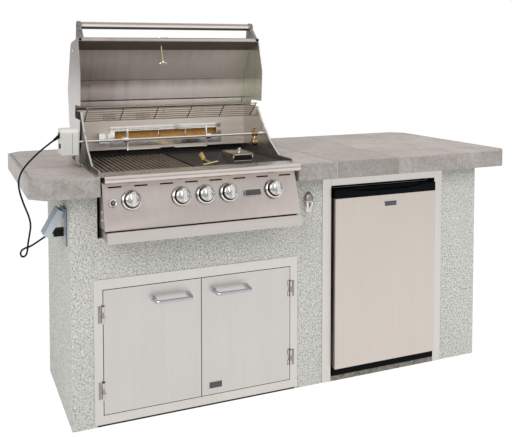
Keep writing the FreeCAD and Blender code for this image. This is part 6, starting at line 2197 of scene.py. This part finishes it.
@dataclass
class Hood(Assembly):
    """Open hood with its liner, tube handle, thermometer and bumpers."""

    handle_centre: Pair = (0.045, 1.487)
    handle_radius: float = 0.015
    handle_neck: float = 0.90
    bracket_thick: float = 0.017
    bracket_foot: Pair = (-0.015, 0.072)
    bracket_lift: float = 0.0003
    crown_radius: float = 0.018
    crown_steps: int = 12
    crown_start: float = 200.0
    crown_turn: float = 225.0
    slope: float = math.radians(7.17)
    dial_y: float = 0.0425
    dial_radius: float = 0.032
    dial_body: float = 0.009
    dial_height: float = 0.008
    # Share of the dial's radius, and how far below its top.
    bezel: tuple[Pair, ...] = (
        (1.0, 0.003), (0.97, 0.0008), (0.92, 0.0), (0.87, 0.0006), (0.86, 0.0035), (0.0, 0.0035),
    )
    dial_face: tuple[Pair, ...] = ((0.0, 0.0036), (0.855, 0.0036), (0.855, 0.0031), (0.0, 0.0031))
    pointer_angle: float = 52.0
    hub: tuple[Pair, ...] = ((0.0, 0.0030), (0.0028, 0.0030), (0.0028, 0.0019), (0.0, 0.0017))
    probe_curve: tuple[Pair, ...] = (
        (0.0, 0.001), (0.0, 0.030), (0.002, 0.060), (0.005, 0.085), (0.006, 0.106),
    )
    probe_radii: tuple[float, ...] = (0.0034, 0.0034, 0.0034, 0.0034, 0.0026)
    nut_from_seat: float = 0.099
    nut: tuple[Pair, ...] = ((0.0, 0.0), (0.0062, 0.0), (0.0070, 0.0016), (0.0060, 0.0078), (0.0, 0.0080))
    # How far out along the nut's wing, how far above its seat, and the wing's radius there.
    wing: tuple[Triple, ...] = (
        (0.003, 0.004, 0.0040), (0.0085, 0.0048, 0.0042), (0.0135, 0.0020, 0.0046),
        (0.0165, -0.0030, 0.0030),
    )
    ticks: int = 24
    tick_ring: float = 0.74
    tick_start: float = math.radians(-60.0)
    tick_turn: float = math.radians(300.0)
    tick_size: Triple = (0.0004, 0.0008, 0.0040)
    hem_drop: float = 0.028
    hem_back: float = 0.1612
    hem_thick: float = 0.0014
    hem_inset: float = 0.002
    # Y and Z of the screws in each side plate.
    side_screws: tuple[Pair, ...] = ((0.100, 1.385), (0.170, 1.250), (0.160, 1.060))

    def build(self) -> None:
        """Dress the shell and build the handle and the thermometer."""
        softened("hood_skin", HOOD_STEEL)
        softened("hood_sides", SHELL_SIDE_STEEL, 0.0009, 2, INNER_SIDE_REFLECTION_STEEL, self.inner_side)
        softened("hood_liner", LINER_STEEL)
        self.hem()
        self.handle()
        self.thermometer()
        self.bumpers()
        self.screws()

    def hem(self) -> None:
        """Fold a hem down from the liner's rear edge."""
        low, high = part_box("hood_liner")
        near = (low.x + self.hem_inset, self.hem_back, low.z - self.hem_drop)
        far = (high.x - self.hem_inset, self.hem_back + self.hem_thick, low.z + LAP)
        shape = Shape()
        shape.slab(near, far, LINER_STEEL)
        shape.piece("liner_hem", "hood")

    @staticmethod
    def inner_side(normal: Vector, middle: Vector) -> bool:
        """Tell whether a face of a side plate looks into the hood; these faces take a painted green
        reflection.
        """
        return outwards("hood_sides", normal, middle) < -0.01

    def roof(self, y: float) -> float:
        """Level of the hood's front panel at a place along Y."""
        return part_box("hood_handle")[0].z + (self.bracket_foot[1] - y) * math.tan(self.slope)

    def handle(self) -> None:
        """Turn the tube and stand it between two tapered cast brackets."""
        low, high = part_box("hood_handle")
        thick, radius = self.bracket_thick, self.handle_radius
        left, right = low.x + thick, high.x - thick
        long, neck = right - left, radius * self.handle_neck
        profile = [
            (0.0, 0.0), (neck, 0.0), (neck, 0.004), (radius, 0.0052), (radius, long - 0.0052),
            (neck, long - 0.004), (neck, long), (0.0, long),
        ]
        shape = Shape()
        shape.lathe(profile, HANDLE_STEEL, placed(Vector((left, *self.handle_centre)), X_AXIS, Z_AXIS), 48)
        for x in (left - thick, right):
            at = placed(Vector((x, 0.0, 0.0)), X_AXIS, Y_AXIS)
            shape.prism(self.bracket_outline(), thick, MOTTLED_METAL, 0.0022, at, 3)
        shape.piece("tube_handle", "hood", "hood_handle", "stainless")

    def bracket_outline(self) -> list[Pair]:
        """Outline the bracket in Y and Z: a foot on the hood that narrows to a round crown.

        Returns:
            Points in order round the outline.
        """
        y, z = self.handle_centre
        front, back = self.bracket_foot
        points = [(front, self.roof(front) + self.bracket_lift)]
        for step in range(self.crown_steps + 1):
            angle = math.radians(self.crown_start - self.crown_turn * step / self.crown_steps)
            points.append((y + self.crown_radius * math.cos(angle), z + self.crown_radius * math.sin(angle)))
        points.append((back, self.roof(back) + self.bracket_lift))
        return points

    def thermometer(self) -> None:
        """Turn the dial with its face, hang the bent probe and tighten its wing nut."""
        low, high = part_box("hood_thermometer")
        rise, tip = math.cos(self.slope), math.sin(self.slope)
        out = Vector((0.0, tip, rise))
        seat = Vector(((low.x + high.x) / 2, self.dial_y, high.z)) - out * self.dial_body
        seat.z = high.z - self.dial_body * out.z - self.dial_radius * tip
        at = placed(seat, out)
        radius, body = self.dial_radius, self.dial_height
        case = [(0.0, 0.0002), (radius * 0.94, 0.0002), (radius, 0.002)]
        case += [(radius * share, body - drop) for share, drop in self.bezel]
        shape = Shape()
        shape.lathe(case, CHROME, at, 56)
        shape.lathe([(radius * share, body - drop) for share, drop in self.dial_face], DIAL_FACE, at, 48)
        turned = at @ Matrix.Rotation(math.radians(self.pointer_angle), 4, "Z")
        pointer = (0.0009, radius * 0.66, body - 0.0024)
        shape.slab((-0.0009, -0.004, body - 0.0030), pointer, BLACK_PLASTIC, 0.0002, turned)
        shape.lathe([(half, body - drop) for half, drop in self.hub], CHROME, at, 20)
        line = [seat - out * drop + X_AXIS * aside for aside, drop in self.probe_curve]
        shape.tube(line, self.probe_radii, PALE_BRASS)
        nut_at = placed(seat - out * self.nut_from_seat + X_AXIS * self.probe_curve[-1][0], out)
        shape.lathe(self.nut, CHROME, nut_at, 24)
        for way in (-1, 1):
            wing = [nut_at @ Vector((way * reach, 0.0, lift)) for reach, lift, _ in self.wing]
            shape.tube(wing, [half for _, _, half in self.wing], CHROME, 14, 0.45)
        shape.piece("dial_thermometer", "hood", "hood_thermometer", "chrome")
        angles = [
            self.tick_start + self.tick_turn * tick / (self.ticks - 1) for tick in range(self.ticks)
        ]
        ring, lift = radius * self.tick_ring, body - 0.0029
        ways = [Vector((math.cos(a), math.sin(a), 0.0)) for a in angles]
        places = [Vector((ring * math.cos(a), ring * math.sin(a), lift)) for a in angles]
        bar_tree().grow("dial_ticks", "hood", places, ways, BLACK_PLASTIC, self.tick_size, at)

    def bumpers(self) -> None:
        """Turn the two rubber bumpers under the lip."""
        low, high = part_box("hood_bumpers")
        radius, long = (high.z - low.z) / 2, high.y - low.y
        profile = [
            (0.0, 0.0), (radius, 0.0), (radius, long * 0.35), (radius * 0.86, long * 0.8),
            (radius * 0.6, long), (0.0, long),
        ]
        shape = Shape()
        for x in (low.x + radius, high.x - radius):
            shape.lathe(profile, RUBBER, placed(Vector((x, high.y, (low.z + high.z) / 2)), -Y_AXIS), 24)
        shape.piece("rubber_bumpers", "hood", "hood_bumpers", "rubber")

    def screws(self) -> None:
        """Screw the handle's brackets and the side plates to the shell."""
        for side, corner in zip(Side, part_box("hood_sides")):
            places = [Vector((corner.x, *place)) for place in self.side_screws]
            self.fasten(f"hood_{side.word}_screws", "hood", places, side.out)
        for side, corner in zip(Side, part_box("hood_handle")):
            place = Vector((corner.x, *self.handle_centre))
            self.fasten(f"handle_{side.word}_screw", "hood", [place], side.out, DARK_CHROME, 1.2)


@dataclass
class Rotisserie(Assembly):
    """Motor on its bracket, spit, forks and brass counterweight, and the warming rack behind."""

    switch_level: float = 1.052
    seam_share: float = 0.62
    cap_nut: tuple[Pair, ...] = (
        (0.0, 0.0), (0.0100, 0.0), (0.0100, 0.0024), (0.0086, 0.0042), (0.0, 0.0046),
    )
    cap_nut_place: Pair = (0.030, -0.036)
    # How far the switch's plate and its rocker reach out, in, to each side, down and up from its level.
    switch: tuple[tuple, ...] = (
        (0.0016, 0.001, 0.012, -0.002, 0.014, BLACK_PLASTIC, MOULD),
        (0.0044, 0.0, 0.009, 0.001, 0.011, RUBBER, 0.0015),
    )
    screw_inset: float = 0.011
    shoulder: float = 0.006
    bore: float = 0.0049
    weight_drop: float = 0.037
    clamp_top: float = 0.008
    screw_up: float = 0.0296
    # Radius of the thumb screw, and the share of its height.
    thumb_screw: tuple[Pair, ...] = (
        (0.0, 0.0), (0.0030, 0.0), (0.0030, 0.45), (0.0070, 0.52), (0.0078, 0.66), (0.0078, 0.86),
        (0.0064, 0.97), (0.0, 1.0),
    )

    def build(self) -> None:
        """Build the motor's housing and the weight, and dress the rods."""
        dress_node("warming_rack", RACK_CHROME)
        dress_node("spit_rod", CHROME)
        softened("spit_forks", CHROME, 0.0006)
        softened("motor_bracket", SILL_STEEL, 0.0007)
        softened("rotisserie_motor", MOTOR_PAINT, 0.0045, 4)
        self.motor()
        self.weight()

    def motor(self) -> None:
        """Add the motor's seam, switch, cap nut and screws."""
        low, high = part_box("rotisserie_motor")
        level, middle = self.switch_level, (low.y + high.y) / 2
        seam = low.x + (high.x - low.x) * self.seam_share
        shape = Shape()
        shape.slab(
            (seam - 0.0006, low.y - 0.0004, low.z + 0.008), (seam + 0.0006, low.y + LAP, high.z - 0.016),
            DARK_CHROME, 0.0,
        )
        back, drop = self.cap_nut_place
        at = placed(Vector((low.x, low.y + back, level + drop)), -X_AXIS, Y_AXIS)
        shape.lathe(self.cap_nut, BLACK_PLASTIC, at, 28)
        for out, sunk, half, down, up, finish, edge in self.switch:
            corner = (low.x + sunk, middle + half, level + up)
            shape.slab((low.x - out, middle - half, level + down), corner, finish, edge)
        shape.piece("motor_fittings")
        inset = self.screw_inset
        levels = (low.z + inset, high.z - inset - self.shoulder)
        places = [Vector((low.x, y, z)) for y in (low.y + inset, high.y - inset) for z in levels]
        self.fasten("motor_screws", ISLAND, places, -X_AXIS)
        low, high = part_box("motor_bracket")
        places = [Vector((high.x - 0.012, y, low.z + 0.003)) for y in (low.y + 0.014, high.y - 0.014)]
        self.fasten("bracket_bolts", ISLAND, places, Z_AXIS, CHROME, 1.3)

    def weight(self) -> None:
        """Turn the brass weight, its clamp and its thumb screw."""
        axis = Vector(JOINTS["spit_turn"]["pos_m"])
        low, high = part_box("spit_counterweight")
        x, half = (low.x + high.x) / 2, (high.x - low.x) / 2
        long, bore, drop = 2 * half, self.bore, self.weight_drop
        clamp = [
            (bore, 0.0), (0.0098, 0.0), (0.0110, 0.0012), (0.0110, long - 0.0012), (0.0098, long),
            (bore, long), (bore, 0.0),
        ]
        weight = [
            (0.0, 0.0), (0.0130, 0.0), (0.0160, 0.0030), (0.0160, half - 0.0015), (0.0152, half),
            (0.0160, half + 0.0015), (0.0160, long - 0.0030), (0.0130, long), (0.0, long),
        ]
        shape = Shape()
        for profile, fall, steps in ((clamp, 0.0, 32), (weight, drop, 40)):
            at = placed(Vector((low.x, axis.y, axis.z - fall)), X_AXIS, Y_AXIS)
            shape.lathe(profile, AGED_BRASS, at, steps)
        arm = [Vector((x, axis.y, z)) for z in (axis.z - drop + 0.012, axis.z - self.clamp_top)]
        shape.tube(arm, 0.004, CHROME, 16)
        up = self.screw_up - self.clamp_top
        at = placed(Vector((x, axis.y, axis.z + self.clamp_top)), Z_AXIS)
        shape.lathe([(radius, up * share) for radius, share in self.thumb_screw], AGED_BRASS, at, 28)
        shape.piece("turned_weight", "spit", "spit_counterweight", "chrome")


@dataclass
class Outlet(Assembly):
    """Weatherproof outlet with its sprung lid resting on the plug."""

    seal_proud: float = 0.0008
    seal_thick: float = 0.0016
    seal_rise: float = 0.131
    plate_out: float = 0.006
    screw_levels: Pair = (0.012, 0.118)
    screw_scale: float = 0.75

    def build(self) -> None:
        """Round the lid and the plate, and seal them."""
        softened(
            "outlet_lid", GREY_PLASTIC, 0.0009, 2, PALE_GREY_PLASTIC, lambda normal, middle: normal.y < -0.5,
        )
        softened("outlet_plate", GREY_PLASTIC, 0.0016, 3)
        softened("outlet_box", WHITE_PLASTIC, 0.0008, 2)
        low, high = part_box("outlet_plate")
        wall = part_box("front_wall")[0].x
        x0, x1 = wall - self.seal_thick, wall - 0.0001
        bottom, top = low.z - self.seal_proud, low.z + self.seal_rise
        seal = Shape()
        for y0, y1, z in (
            (low.y - self.seal_proud, low.y + 0.003, top), (high.y - 0.003, high.y + self.seal_proud, top),
            (low.y, high.y, low.z + 0.002),
        ):
            seal.slab((x0, y0, bottom), (x1, y1, z), RUBBER)
        seal.piece("plate_seal")
        face, centre = wall - self.plate_out, (low.y + high.y) / 2
        places = [Vector((face, centre, low.z + rise)) for rise in self.screw_levels]
        self.fasten("outlet_screws", ISLAND, places, -X_AXIS, CHROME, self.screw_scale)


@dataclass
class BottleOpener(Assembly):
    """Cast opener on the front wall: a half dome over a tapered plate with two teeth."""

    dome_half: float = 0.0215
    dome_height: float = 0.040
    dome_shares: tuple[float, ...] = (0.015, 0.08, 0.2, 0.35, 0.55, 0.78, 1.0)
    rim_radius: float = 0.0018
    rim_inset: float = 0.0015
    plate_thick: float = 0.004
    plate_corner: float = 0.004
    plate_up: float = 0.01
    arc_points: int = 16
    tooth_radii: tuple[float, ...] = (0.0052, 0.0048, 0.0042, 0.0036)
    # Share of the dome's half width, share of its reach, and level against the lip.
    tooth: tuple[Triple, ...] = ((0.55, 0.55, 0.003), (0.52, 0.60, -0.008), (0.40, 0.45, -0.020))
    tooth_root: Triple = (0.34, 0.002, -0.030)
    screw_scale: float = 0.8

    def build(self) -> None:
        """Cast the dome, the plate and the teeth, and screw them to the wall."""
        low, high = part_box("bottle_opener")
        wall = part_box("front_wall")[0].y
        middle, lip = (low.x + high.x) / 2, high.z - self.dome_height
        reach = wall - low.y - FOLD
        sections = [
            self.section(middle, wall, reach, high.z - self.dome_height * share, share)
            for share in self.dome_shares
        ]
        rim = self.section(middle, wall, reach - self.rim_inset, lip + self.rim_inset, 1.0)
        shape = Shape()
        shape.loft(sections, OPENER_METAL)
        shape.tube(rim, self.rim_radius, CHROME, 12)
        at = placed(Vector((middle, wall, 0.0)), -Y_AXIS)
        flip = -1.0 if (at.to_3x3() @ Y_AXIS).z < 0 else 1.0
        wide, narrow, corner = self.dome_half * 0.8, self.dome_half * 0.6, self.plate_corner
        top, bottom = flip * (lip + self.plate_up), flip * (low.z + corner)
        outline = [
            (-wide, top), (wide, top), (narrow, bottom), (narrow - corner, flip * low.z),
            (corner - narrow, flip * low.z), (-narrow, bottom),
        ]
        shape.prism(outline, self.plate_thick, SILL_STEEL, 0.0010, at)
        for side in (-self.dome_half, self.dome_half):
            points = [(side * a, reach * b, lip + rise) for a, b, rise in self.tooth]
            share, out, rise = self.tooth_root
            points.append((side * share, out, lip + rise))
            line = [Vector((middle + x, wall - y, z)) for x, y, z in points]
            shape.tube(line, self.tooth_radii, CHROME, 14, 0.7)
        shape.piece("cast_opener", ISLAND, "bottle_opener", "stainless")
        face = wall - self.plate_thick
        places = [Vector((middle, face, z)) for z in (low.z + 0.009, lip - 0.010)]
        self.fasten("opener_screws", ISLAND, places, -Y_AXIS, CHROME, self.screw_scale)

    def section(self, middle: float, wall: float, reach: float, level: float, share: float) -> list[Vector]:
        """Half oval of the dome at a share of the way down.

        Args:
            middle: Middle of the dome along X.
            wall: Y of the wall's face.
            reach: How far the dome stands out at its lip.
            level: Level of this section.
            share: Way down, from zero to one; one is the lip.

        Returns:
            Points from the left side to the right.
        """
        size = math.sqrt(1.0 - (1.0 - share) ** 2)
        half, depth = self.dome_half * size, reach * size
        angles = [math.pi * step / self.arc_points for step in range(self.arc_points + 1)]
        return [Vector((middle - half * math.cos(a), wall - depth * math.sin(a), level)) for a in angles]


def main() -> None:
    """Build the studio and every sub-assembly in order, and report each one and its pieces."""
    logging.basicConfig(level=logging.INFO, format="%(message)s")
    assemblies = (
        Studio, PowerCord, Base, Counter, StorageDoors, Refrigerator, GrillBody, ControlPanel, Grates, Hood,
        Rotisserie, Outlet, BottleOpener,
    )
    for assembly in assemblies:
        log.info("building %s", assembly.__name__)
        assembly().build()


if __name__ == "__main__":
    main()
